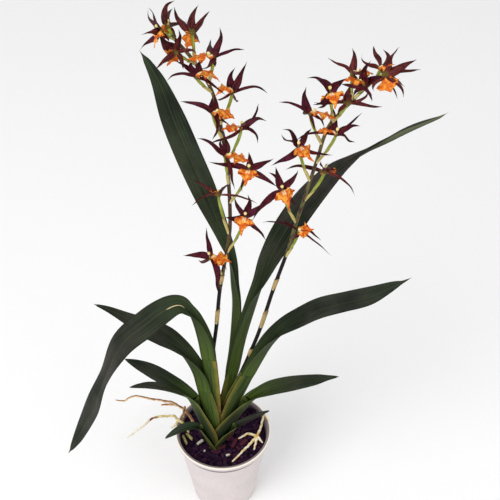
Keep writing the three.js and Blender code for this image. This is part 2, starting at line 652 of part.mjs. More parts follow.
const chance = (() => {
  let state = 7;
  return () => {
    state = (state * 16807) % 2147483647;
    return state / 2147483647;
  };
})();

function soil(cutters) {
  const inner = (height) => wallRadius(height) - POT_WALL - GAP;
  const bottom = POT_FLOOR + GAP;
  const profile = [[0, bottom], [inner(POT_FLOOR) - GAP, bottom], [inner(SOIL_TOP), SOIL_TOP - SOIL_SHOULDER]];
  for (const share of SOIL_RINGS) {
    profile.push([inner(SOIL_TOP) * share, SOIL_TOP]);
  }
  const geometry = turned(profile, POT_SIDES);
  const place = geometry.getAttribute('position');
  for (let i = 0; i < place.count; i += 1) {
    if (place.getZ(i) > SOIL_TOP - 0.5) {
      place.setZ(i, SOIL_TOP + soilHeight(place.getX(i), place.getY(i)));
    }
  }
  let body = toSolid(geometry);
  for (let i = 0; i < CHIP_COUNT; i += 1) {
    const angle = 2 * Math.PI * chance();
    const radius = 20 + 25 * Math.sqrt(chance());
    const chip = new THREE.BoxGeometry(5 + 6 * chance(), 4 + 3 * chance(), 4);
    chip.rotateX(0.5 * (chance() - 0.5));
    chip.rotateY(0.6 * (chance() - 0.5));
    chip.rotateZ(Math.PI * chance());
    chip.translate(radius * Math.cos(angle), radius * Math.sin(angle), SOIL_TOP - 0.3);
    body = body.add(toSolid(chip));
  }
  return cut(body, cutters);
}

function footStub(swell) {
  const top = FOOT_RADIUS + swell;
  const stub = new THREE.CylinderGeometry(top, top - FOOT_TAPER, FOOT_DEPTH + 2 * swell, 16);
  stub.rotateX(Math.PI / 2);
  stub.translate(FOOT.x, FOOT.y, FOOT.z - SOIL_SHOULDER - FOOT_DEPTH / 2);
  return toSolid(stub);
}

// Flowers

function stemPoints(side) {
  return STEMS[side].map(([px, py, y]) => seen(px, py, y));
}

// The point of a stem that lies at a given step down.
function stemAt(side, py) {
  const rows = STEMS[side];
  let i = 0;
  while (i + 2 < rows.length && rows[i + 1][1] > py) i += 1;
  const share = (rows[i][1] - py) / (rows[i][1] - rows[i + 1][1]);
  const mix = (k) => rows[i][k] + (rows[i + 1][k] - rows[i][k]) * share;
  return seen(mix(0), py, mix(2));
}

function stalk(name, side, swell) {
  const { heart, foot } = BLOOMS[name];
  const end = seen(...heart);
  const start = stemAt(side, foot[1]);
  const bend = end.clone().lerp(start, 0.35);
  bend.x = end.x + (start.x - end.x) * 0.12;
  const curve = new THREE.QuadraticBezierCurve3(start, bend, end);
  const length = curve.getLength();
  const stop = (length - HEART_RADIUS - GAP) / length;
  const points = [0, 0.3, 0.6, 1].map((share) => curve.getPointAt(share * stop));
  return tube(points, STALK_RADIUS, STALK_SIDES, STALK_STEPS, swell);
}

function bract(curve, share, swell) {
  const place = curve.getPointAt(share);
  const sleeve = new THREE.CylinderGeometry(BRACT_RADIUS + swell, STEM_RADIUS * 0.8 + swell, BRACT_LENGTH, STEM_SIDES);
  const turn = new THREE.Quaternion().setFromUnitVectors(new THREE.Vector3(0, 1, 0), curve.getTangentAt(share));
  sleeve.applyQuaternion(turn);
  sleeve.translate(place.x, place.y, place.z);
  return toSolid(sleeve);
}

function spike(side, swell = 0) {
  const points = stemPoints(side);
  const curve = new THREE.CatmullRomCurve3(points);
  const names = Object.keys(BLOOMS).filter((name) => name.includes(side));
  const bracts = BRACTS[side].map((share) => bract(curve, share, swell));
  const stalks = names.map((name) => stalk(name, side, swell));
  return joined([tube(points, STEM_RADIUS, STEM_SIDES, STEM_STEPS, swell), ...bracts, ...stalks]);
}

// A tapering blade with four sides: half widths by share of its length.
function strip(curve, face, profile, thickness) {
  const start = HEART_SINK / curve.getLength();
  const rings = profile.map(([part, half]) => {
    const share = start + (1 - start) * part;
    const place = curve.getPoint(share);
    const along = curve.getTangent(share);
    const normal = face.clone().addScaledVector(along, -face.dot(along)).normalize();
    const side = new THREE.Vector3().crossVectors(along, normal);
    const thick = Math.min(thickness, half * 1.6) / 2;
    return [[-half, thick], [half, thick], [half, -thick], [-half, -thick]].map(([a, b]) =>
      place.clone().addScaledVector(side, a).addScaledVector(normal, b));
  });
  return loft(rings, 2);
}

const TEPAL_PROFILE = [[0, 0.3], [0.25, 1], [0.6, 0.6], [1, 0.15]];
const LIP_PROFILE = [[0, 0.12], [0.2, 0.95], [0.36, 1], [0.7, 0.5], [1, 0.08]];

// Where a step offset from a heart ends, reaching its full length towards the viewer or away.
function reachOf(heart, px, py, offset, lean, length) {
  const depth = depthOf(heart);
  const flat = atDepth(px + offset[0], py - offset[1], depth);
  const spare = Math.sqrt(Math.max(length * length - flat.distanceToSquared(heart), LEAST_SPARE ** 2));
  return flat.addScaledVector(EYE.clone().sub(heart).normalize(), spare * lean);
}

function bloomPlan(name) {
  const { heart: [px, py, y], face, lip, tepals } = BLOOMS[name];
  const heart = seen(px, py, y);
  const toward = EYE.clone().sub(heart).normalize();
  const up = new THREE.Vector3().crossVectors(toward, ACROSS).normalize();
  const facing = ACROSS.clone().multiplyScalar(face[0]);
  facing.addScaledVector(up, face[1]).addScaledVector(toward, face[2]).normalize();
  const curves = tepals.map(([across, rise, lean, bow]) => {
    const tip = reachOf(heart, px, py, [across, rise], lean, TEPAL_LENGTH);
    const flat = Math.hypot(across, rise);
    const middle = heart.clone().lerp(tip, 0.5);
    const scale = depthOf(heart) / EYE_FOCAL;
    middle.addScaledVector(ACROSS, (-rise / flat) * bow * scale);
    middle.addScaledVector(up, (across / flat) * bow * scale);
    const pull = middle.multiplyScalar(2).addScaledVector(heart, -0.5).addScaledVector(tip, -0.5);
    return new THREE.QuadraticBezierCurve3(heart, pull, tip);
  });
  const lipTip = reachOf(heart, px, py, lip, lip[2], LIP_LENGTH);
  const lipPull = heart.clone().lerp(lipTip, 0.5).addScaledVector(facing, LIP_ARCH);
  const lipCurve = new THREE.QuadraticBezierCurve3(heart, lipPull, lipTip);
  const columnWay = facing.clone().multiplyScalar(0.8);
  columnWay.addScaledVector(lipTip.clone().sub(heart).normalize(), -0.6).normalize();
  return { heart, facing, curves, lipCurve, columnWay };
}

function bloom(name) {
  const { heart, facing, curves, lipCurve, columnWay } = bloomPlan(name);
  const scaled = (profile, half) => profile.map(([share, width]) => [share, width * half]);
  const core = new THREE.OctahedronGeometry(HEART_RADIUS).translate(heart.x, heart.y, heart.z);
  const column = new THREE.CylinderGeometry(COLUMN_TIP_RADIUS, COLUMN_FOOT_RADIUS, COLUMN_LENGTH, 4);
  column.translate(0, COLUMN_LENGTH / 2, 0);
  column.applyQuaternion(new THREE.Quaternion().setFromUnitVectors(new THREE.Vector3(0, 1, 0), columnWay));
  column.translate(heart.x, heart.y, heart.z);
  return joined([
    toSolid(core),
    toSolid(column),
    strip(lipCurve, facing, scaled(LIP_PROFILE, LIP_HALF_WIDTH), LIP_THICKNESS),
    ...curves.map((curve) => strip(curve, facing, scaled(TEPAL_PROFILE, TEPAL_HALF_WIDTH), TEPAL_THICKNESS)),
  ]);
}

function rootTubes(name, swell) {
  return ROOTS[name].map((path) => {
    const points = path.map(([px, py, y]) => seen(px, py, y));
    return tube(points, ROOT_RADIUS, ROOT_SIDES, path.length * 2, swell);
  });
}

const group = new THREE.Group();
const leafNames = Object.keys(LEAVES);
const spikesSwollen = ['left', 'right'].map((side) => spike(side, GAP));
const rootsSwollen = Object.keys(ROOTS).flatMap((name) => rootTubes(name, GAP));
const crownSwollen = [footStub(GAP), ...leafNames.map((name) => sheath(name, GAP))];
const soilCutters = [...crownSwollen, ...spikesSwollen, ...rootsSwollen];
const crownBody = joined([footStub(0), ...leafNames.map((name) => sheath(name))]);
group.add(mesh('pot', pot(), COLOURS.pot, 0.5));
group.add(mesh('soil', soil(soilCutters), COLOURS.soil, 0.95));
group.add(mesh('crown', cut(crownBody, spikesSwollen), COLOURS.crown, 0.5));
for (const name of leafNames) {
  group.add(mesh(name, cut(blade(name), spikesSwollen), COLOURS.leaf, 0.5));
}
for (const side of ['left', 'right']) {
  group.add(mesh(`spike_${side}`, spike(side), COLOURS.spike, 0.6));
}
for (const name of Object.keys(BLOOMS)) {
  group.add(mesh(name, cut(bloom(name), spikesSwollen), COLOURS.bloom, 0.5));
}
for (const name of Object.keys(ROOTS)) {
  group.add(mesh(name, joined(rootTubes(name, 0)), COLOURS.root, 0.8));
}

export default group;
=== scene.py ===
"""A potted orchid with two flower spikes: the finished look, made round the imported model.

Lengths in the tables and functions are in millimetres, +Z up, with the origin in the middle
of the pot's flat base. A mesh is brought to metres as it is made.
"""

import bpy
import numpy as np
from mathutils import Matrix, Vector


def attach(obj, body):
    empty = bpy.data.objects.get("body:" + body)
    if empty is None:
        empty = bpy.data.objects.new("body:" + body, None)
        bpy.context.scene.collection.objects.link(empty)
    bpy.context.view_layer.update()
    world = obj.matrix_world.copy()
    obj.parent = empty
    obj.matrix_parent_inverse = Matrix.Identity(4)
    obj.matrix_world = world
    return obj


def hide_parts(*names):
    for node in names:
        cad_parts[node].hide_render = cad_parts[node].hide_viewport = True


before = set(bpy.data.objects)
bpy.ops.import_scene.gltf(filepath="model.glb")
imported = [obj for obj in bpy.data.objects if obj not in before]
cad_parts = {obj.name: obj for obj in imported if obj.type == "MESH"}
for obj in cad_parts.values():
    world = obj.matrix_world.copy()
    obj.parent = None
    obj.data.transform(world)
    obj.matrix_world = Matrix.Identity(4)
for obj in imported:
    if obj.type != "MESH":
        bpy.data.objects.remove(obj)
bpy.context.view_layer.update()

MM = 0.001
BODY = "root"
SEED = 7

# Pot and soil
POT_RIM_RADIUS = 60
POT_BASE_RADIUS = 40
POT_HEIGHT = 116
POT_WALL = 1.5
POT_BAND_HEIGHT = 6
POT_BAND_STEP = 2.6
POT_FLOOR = 2
DRAIN_RADIUS = 4.5
DRAIN_CIRCLE = 26
DRAIN_COUNT = 6
SOIL_TOP = 104
GAP = 0.3
BANK_BEHIND = 9.5
BANK_BESIDE = 8
SOIL_RIPPLES = 30
CHIP_COUNT = 300
CHIP_CIRCLE = 51
CHIP_TALL = 1.6

# Shoot and leaves
FOOT = np.array([-12.0, -8.0, 104.0])
BULB_HALF_SIZE = np.array([9.0, 7.5, 12.0])
BULB_SUNK = 6
BLADE_THICKNESS = (1.4, 0.65)
SHEATH_THICKNESS = (1.5, 0.8)
LEAST_HALF_WIDTH = 0.8
GROOVE_DEPTH = 0.55
GROOVE_WIDTH = 1.2
KEEL_SHARE = 0.6
HALF_SWELL = 0.2
EDGE_WAVE = 0.5
EDGE_WAVE_PITCH = 13
SHEATH_FOLD = np.radians(80)

# Spikes, blooms and roots
STEM_FOOT_RADIUS = 2.5
STEM_TIP_RADIUS = 1.6
NODE_SWELL = 0.35
NODE_LENGTH = 3.5
STALK_RADIUS = 1.0
OVARY_RADIUS = 1.55
BRACT_WALL = 0.25
HEART_RADIUS = 1.95
TEPAL_LENGTH = 36
TEPAL_HALF_WIDTH = 3.5
TEPAL_THICKNESS = (0.8, 0.35)
LIP_LENGTH = 22
LIP_HALF_WIDTH = 9.5
LIP_THICKNESS = (1.0, 0.4)
LIP_STANDOFF = 1.5
LIP_SHAPE = (1, 0.28)
LIP_ARCH = 3
COLUMN_FOLLOW = -0.6
LEAST_SPARE = 9
COLUMN_LENGTH = 7
ROOT_RADIUS = 1.5

# How many steps a grid has
LEAF_AROUND = 36
STATIONS_PER_ROW = 7
STEM_AROUND = 14
STEM_STEPS = 150
STALK_AROUND = 12
STALK_STEPS = 22
SLEEVE_AROUND = 20
SLEEVE_STEPS = 14
TEPAL_AROUND = 14
TEPAL_STEPS = 26
LIP_AROUND = 36
LIP_STEPS = 40
COLUMN_AROUND = 14
COLUMN_STEPS = 18
ROOT_AROUND = 12
POT_AROUND = 144
SOIL_RINGS = 60
STEPS_PER_POINT = 12

# The plant was measured from one picture, 500 steps across, seen from this point along
# an axis tilted down. A place is given by its step across, its step down and its depth Y.
EYE = np.array([34.1, -800.4, 1140.4])
EYE_TILT = np.radians(41.93)
EYE_FOCAL = 1013.3
EYE_MIDDLE = 250
AXIS = np.array([0, np.cos(EYE_TILT), -np.sin(EYE_TILT)])
ACROSS = np.array([1.0, 0, 0])
RISE = np.cross(ACROSS, AXIS)
SENSOR = 36
PICTURE_STEPS = 500

# Leaves. joint: the row where the blade begins. brown: how brown the blade is near its joint and
# farther out. young: how far up its young green fades, in millimetres. lit: how much painted light
# one half takes, a lighter green painted as if light fell on it, the right one above nought and
# the left one below, seen on its upper side with the tip up. lit_end: which half takes painted
# light near the tip, told the same way. rib_highlight: from which to which share of the blade a
# painted highlight shows pale along its rib. Of its sheath, stand: how far it stands off the fan's
# middle
# at the soil, dark: how much painted shade darkens it, gold: how golden its edge is, wrap: how
# much wider than the leaf it is at each row, so that the outer sheaths wrap the inner ones.
# rows, from foot to tip: step across, step down, depth, half width, the degrees by which each
# half is folded up, and the direction X, Y, Z that the upper side faces.
LEAVES = {
    "leaf_tall_left": {
        "joint": 3, "brown": (0, 0.25), "young": 130, "lit": -0.9,
        "stand": 3, "dark": 0, "gold": 0.8, "wrap": (0, 1, 1, 0),
        "rows": [
            (214, 446, -8, 8, 82, 1, 0, 0.1), (217, 425, -4, 12, 82, 1, 0, 0.1),
            (222, 396, 4, 14, 82, 1, -0.1, 0.1), (226, 374, 9, 14, 81, 1, -0.1, 0.1),
            (230.5, 346, 12, 13, 80, 1, -0.1, 0.1), (233.5, 306, 15, 9.5, 75, 1, -0.2, 0.1),
            (232, 284, 17, 8.5, 66, 1, -0.35, 0.1), (230, 262, 20, 8.5, 50, 0.8, -0.6, 0.15),
            (222, 232, 25, 9.2, 26, 0.25, -1, 0.2), (206, 194, 31, 13.3, 15, 0.05, -1, 0.2),
            (188, 153, 39, 14.2, 10, 0, -1, 0.15), (172.8, 117, 46, 12.8, 8, -0.05, -1, 0.15),
            (159.8, 84, 52, 8.2, 6, -0.05, -1, 0.15), (148.8, 64, 56, 4.2, 4, -0.05, -1, 0.15),
            (139, 50, 59, 0.8, 0, -0.05, -1, 0.15),
        ],
    },
    "leaf_tall_right": {
        "joint": 3, "brown": (0.15, 0.85), "young": 100, "lit": -0.4, "lit_end": 1,
        "stand": 4.2, "dark": 0.1, "gold": 0.7, "wrap": (0, 0, 0, 0),
        "rows": [
            (216, 446, -8, 8, 82, -1, 0, 0.1), (222, 428, -7, 12, 82, -1, 0, 0.1),
            (230.5, 397, -2, 13, 82, -1, -0.1, 0.1), (237, 374, 1, 14, 81, -1, -0.1, 0.1),
            (245, 338, 4, 13.5, 78, -1, -0.15, 0.1), (255.5, 304, 8, 12.5, 66, -1, -0.3, 0.1),
            (263, 282, 12, 12, 46, -0.8, -0.7, 0.15), (271, 257, 17, 13, 27, -0.5, -0.9, 0.2),
            (286, 230, 24, 15, 15, -0.3, -1, 0.25), (306, 201, 32, 14.5, 12, -0.2, -1, 0.35),
            (332, 174, 40, 10.5, 14, -0.2, -0.8, 0.6), (352, 160, 46, 6, 34, -0.2, -0.5, 0.8),
            (370, 150, 51, 3.4, 50, -0.2, 0.1, 1), (388, 141.5, 56, 6, 40, -0.2, 0.5, 0.9),
            (405, 133, 60.5, 8, 34, -0.2, 0.5, 0.9), (421, 125.5, 64, 7, 28, -0.2, 0.5, 0.9),
            (437, 118.3, 67, 4.6, 18, -0.2, 0.6, 0.8), (449, 112, 70, 0.8, 0, -0.2, 0.75, 0.6),
        ],
    },
    "leaf_arch_left": {
        "joint": 3, "brown": (0.15, 0.7), "young": 70, "lit": -0.3, "rib_highlight": (0.265, 0.345),
        "stand": 5, "dark": 0.1, "gold": 1, "wrap": (3, 2, 2.5, 0),
        "rows": [
            (213, 446, -10, 7, 82, 1, 0, 0.1), (211, 420, -11, 12, 82, 1, 0, 0.1),
            (206, 388, -13, 15, 81, 1, 0, 0.1), (202.5, 359, -14, 17, 80, 1, -0.1, 0.1),
            (199, 340, -14, 16.5, 76, 1, -0.1, 0.2), (193, 320, -15, 11.5, 62, 0.9, -0.2, 0.45),
            (186.5, 310.5, -17, 9.5, 40, 0.45, -0.4, 0.8),
            (179, 305.5, -20, 11.5, 24, 0, -0.45, 0.9),
            (167, 309.5, -24, 14.5, 12, -0.25, -0.45, 0.85),
            (148, 323, -30, 17, 8, -0.4, -0.5, 0.75), (122, 345, -38, 16, 8, -0.6, -0.5, 0.6),
            (105, 378, -46, 12, 10, -0.85, -0.4, 0.3), (94, 406, -50, 14.2, 10, -0.85, -0.5, 0.2),
            (81.5, 431, -54, 10.5, 8, -0.85, -0.5, 0.1),
            (68.4, 453.4, -62, 0.8, 0, -0.85, -0.5, 0.1),
        ],
    },
    "leaf_arch_right": {
        "joint": 3, "brown": (0.15, 0.4), "young": 55, "lit": 0.2,
        "stand": 6, "dark": 0.6, "gold": 0.5, "wrap": (5, 1, 2.5, 0),
        "rows": [
            (217, 446, -10, 7, 82, -1, 0, 0.1), (229, 421, -12, 13, 82, -1, 0, 0.1),
            (241, 399, -13, 16, 82, -1, -0.05, 0.15), (253, 376, -14, 16.5, 80, -1, -0.1, 0.2),
            (261.5, 360.5, -15, 16, 76, -0.95, -0.15, 0.4),
            (271.5, 344.8, -17, 15.5, 62, -0.85, -0.2, 0.6),
            (284.5, 331.3, -20, 15, 42, -0.6, -0.2, 0.8),
            (300, 320.6, -22, 15.5, 22, -0.4, -0.1, 0.95),
            (320, 310.4, -25, 16.5, 14, -0.25, -0.05, 1),
            (345, 303.6, -29, 16.5, 10, -0.15, 0, 1), (372, 296.5, -33, 14, 8, -0.15, 0, 1),
            (393, 287, -36, 8, 6, -0.2, 0, 1), (403, 282, -38, 2.5, 0, -0.2, 0, 1),
            (412, 277.4, -39, 0.8, 0, -0.2, 0, 1),
        ],
    },
    "leaf_low_right": {
        "joint": 3, "brown": (0.3, 0.5), "young": 45, "lit": 0.3,
        "stand": 8, "dark": 1, "gold": 0.3, "wrap": (6, 8, 4, 0),
        "rows": [
            (218, 446, -11, 7, 74, -1, 0, 0.2), (229, 430, -14, 13, 68, -0.9, 0, 0.4),
            (242, 413, -16, 15, 68, -0.9, -0.1, 0.5), (253, 400.5, -18, 13, 66, -0.8, -0.2, 0.6),
            (262, 394.5, -22, 11.5, 50, -0.6, -0.2, 0.8),
            (275, 389, -24, 12, 25, -0.3, -0.1, 0.95), (295, 384.5, -28, 12.5, 12, -0.15, 0, 1),
            (316, 380.5, -33, 8.5, 8, -0.1, 0, 1), (328, 378, -36, 4, 4, -0.1, 0, 1),
            (339, 376.5, -38, 0.8, 0, -0.1, 0, 1),
        ],
    },
    "leaf_mid_left": {
        "joint": 3, "brown": (0.2, 0.55), "young": 45, "lit": 0.2,
        "stand": 7, "dark": 0.1, "gold": 0.3, "wrap": (4, 3, 2, 0),
        "rows": [
            (212, 444, -10, 9, 76, 1, 0, 0.1), (206, 422, -12, 17, 74, 1, 0, 0.15),
            (201, 402, -13, 19, 73, 1, -0.05, 0.2), (198, 390, -13, 19, 73, 1, -0.1, 0.25),
            (194.5, 375, -12, 17.5, 70, 0.95, -0.1, 0.35),
            (187, 361, -9, 15.5, 60, 0.8, -0.15, 0.6), (177, 349, -4, 15, 38, 0.5, -0.2, 0.85),
            (163, 337.5, 4, 15.5, 18, 0.2, -0.2, 0.95), (145, 328.5, 9, 14, 10, 0.1, -0.1, 1),
            (126, 318.5, 14, 9, 8, 0.1, 0, 1), (108, 309.5, 19, 5, 6, 0.1, 0, 1),
            (93.6, 304, 22, 0.8, 0, 0.1, 0, 1),
        ],
    },
    "leaf_low_left": {
        "joint": 3, "brown": (0.15, 0.35), "young": 30, "lit": -0.3,
        "stand": 9.5, "dark": 0.9, "gold": 0.4, "wrap": (6, 4, 1, 0),
        "rows": [
            (210, 446, -12, 8, 70, 1, 0, 0.2), (203, 429, -13, 16, 65, 1, -0.1, 0.3),
            (195, 412, -14, 17, 65, 0.9, -0.15, 0.4), (189, 400, -15, 14, 66, 0.8, -0.2, 0.5),
            (180, 391, -16, 12.5, 52, 0.6, -0.2, 0.75), (168, 383, -17, 12, 30, 0.3, -0.2, 0.9),
            (152, 373, -19, 12, 14, 0.1, -0.1, 1), (138, 365.5, -21, 7.5, 8, 0.1, -0.1, 1),
            (124.6, 359, -23, 0.8, 0, 0.1, -0.1, 1),
        ],
    },
    "leaf_lowest_left": {
        "joint": 2, "brown": (0.3, 0.8), "young": 30, "lit": 0.3,
        "stand": 6, "dark": 0.7, "gold": 0.1, "wrap": (4, 4, 0),
        "rows": [
            (209, 444, -6, 6, 78, 1, 0, 0.2), (198, 416, -4, 8, 74, 0.9, 0, 0.5),
            (190, 400, -3, 8, 62, 0.7, -0.1, 0.7), (178, 393.5, -2, 8, 42, 0.4, 0, 0.9),
            (162, 388.5, 0, 8, 26, 0.1, 0.1, 1), (148, 386, 2, 6.5, 15, 0, 0.1, 1),
            (138, 386, 4, 4, 6, 0, 0.1, 1), (129.2, 387.3, 5, 0.8, 0, 0, 0.1, 1),
        ],
    },
    "leaf_small_left": {
        "joint": 2, "brown": (0, 0.2), "young": 2, "lit": 0.2,
        "stand": 9.5, "dark": 0.9, "gold": 0.2, "wrap": (4, 1, 0),
        "rows": [
            (211, 447, -14, 6, 66, 0.9, 0, 0.3), (204, 435.5, -18, 8.5, 62, 0.6, -0.2, 0.7),
            (197, 427, -22, 6.5, 55, 0.3, -0.4, 0.8), (187, 427, -26, 6, 28, 0, -0.4, 0.9),
            (177, 431, -30, 5, 14, -0.3, -0.3, 0.9), (170, 435, -32, 3, 6, -0.4, -0.3, 0.9),
            (165, 438.5, -34, 0.8, 0, -0.4, -0.3, 0.9),
        ],
    },
    "leaf_small_right": {
        "joint": 2, "brown": (0.4, 0.9), "young": 2, "lit": 0.2,
        "stand": 8, "dark": 1, "gold": 0.1, "wrap": (4, 2, 0),
        "rows": [
            (219, 446, -14, 6, 66, -0.9, 0, 0.3), (230, 434, -18, 9, 64, -0.7, -0.1, 0.7),
            (239, 425.5, -22, 7, 58, -0.5, -0.4, 0.8), (248, 420, -25, 4.6, 34, -0.2, -0.3, 0.9),
            (256, 416, -28, 3.6, 16, 0, -0.3, 0.9), (263, 413, -30, 2.3, 6, 0, -0.3, 0.9),
            (269.5, 410.7, -32, 0.8, 0, 0, -0.3, 0.9),
        ],
    },
}

# Flower stems from the soil to the tip: step across, step down, depth.
STEMS = {
    "left": [
        (212, 436, -7), (211.5, 412, -5), (211, 385, -4), (213, 352, -3), (216.5, 325, -3),
        (219.5, 292, -4), (224, 266, -6), (228, 245, -8), (230, 224, -10), (229.5, 198, -12),
        (228, 175, -14), (226, 154, -16), (222, 135, -18), (219, 115, -20), (214, 97, -22),
        (208, 83, -24), (199, 69, -26), (189, 55, -28), (179, 44, -30), (172, 36, -31),
    ],
    "right": [
        (218, 436, -7), (225, 412, -5), (234, 388, -4), (247, 360, -3), (260, 329, -4),
        (273, 290, -6), (285, 258, -8), (291, 240, -10), (297, 220, -12), (304, 200, -14),
        (311, 178, -16), (318, 157, -18), (323, 140, -20), (329, 126, -22), (339, 114, -24),
        (350, 103, -26), (361, 92, -28), (372, 82, -30), (378, 77, -31),
    ],
}

# Pale bracts at the stems' nodes: share of the stem's length from the soil, and length.
BRACTS = {
    "left": [(0.2, 18), (0.36, 26), (0.459, 15)],
    "right": [(0.28, 15), (0.383, 31), (0.484, 20)],
}

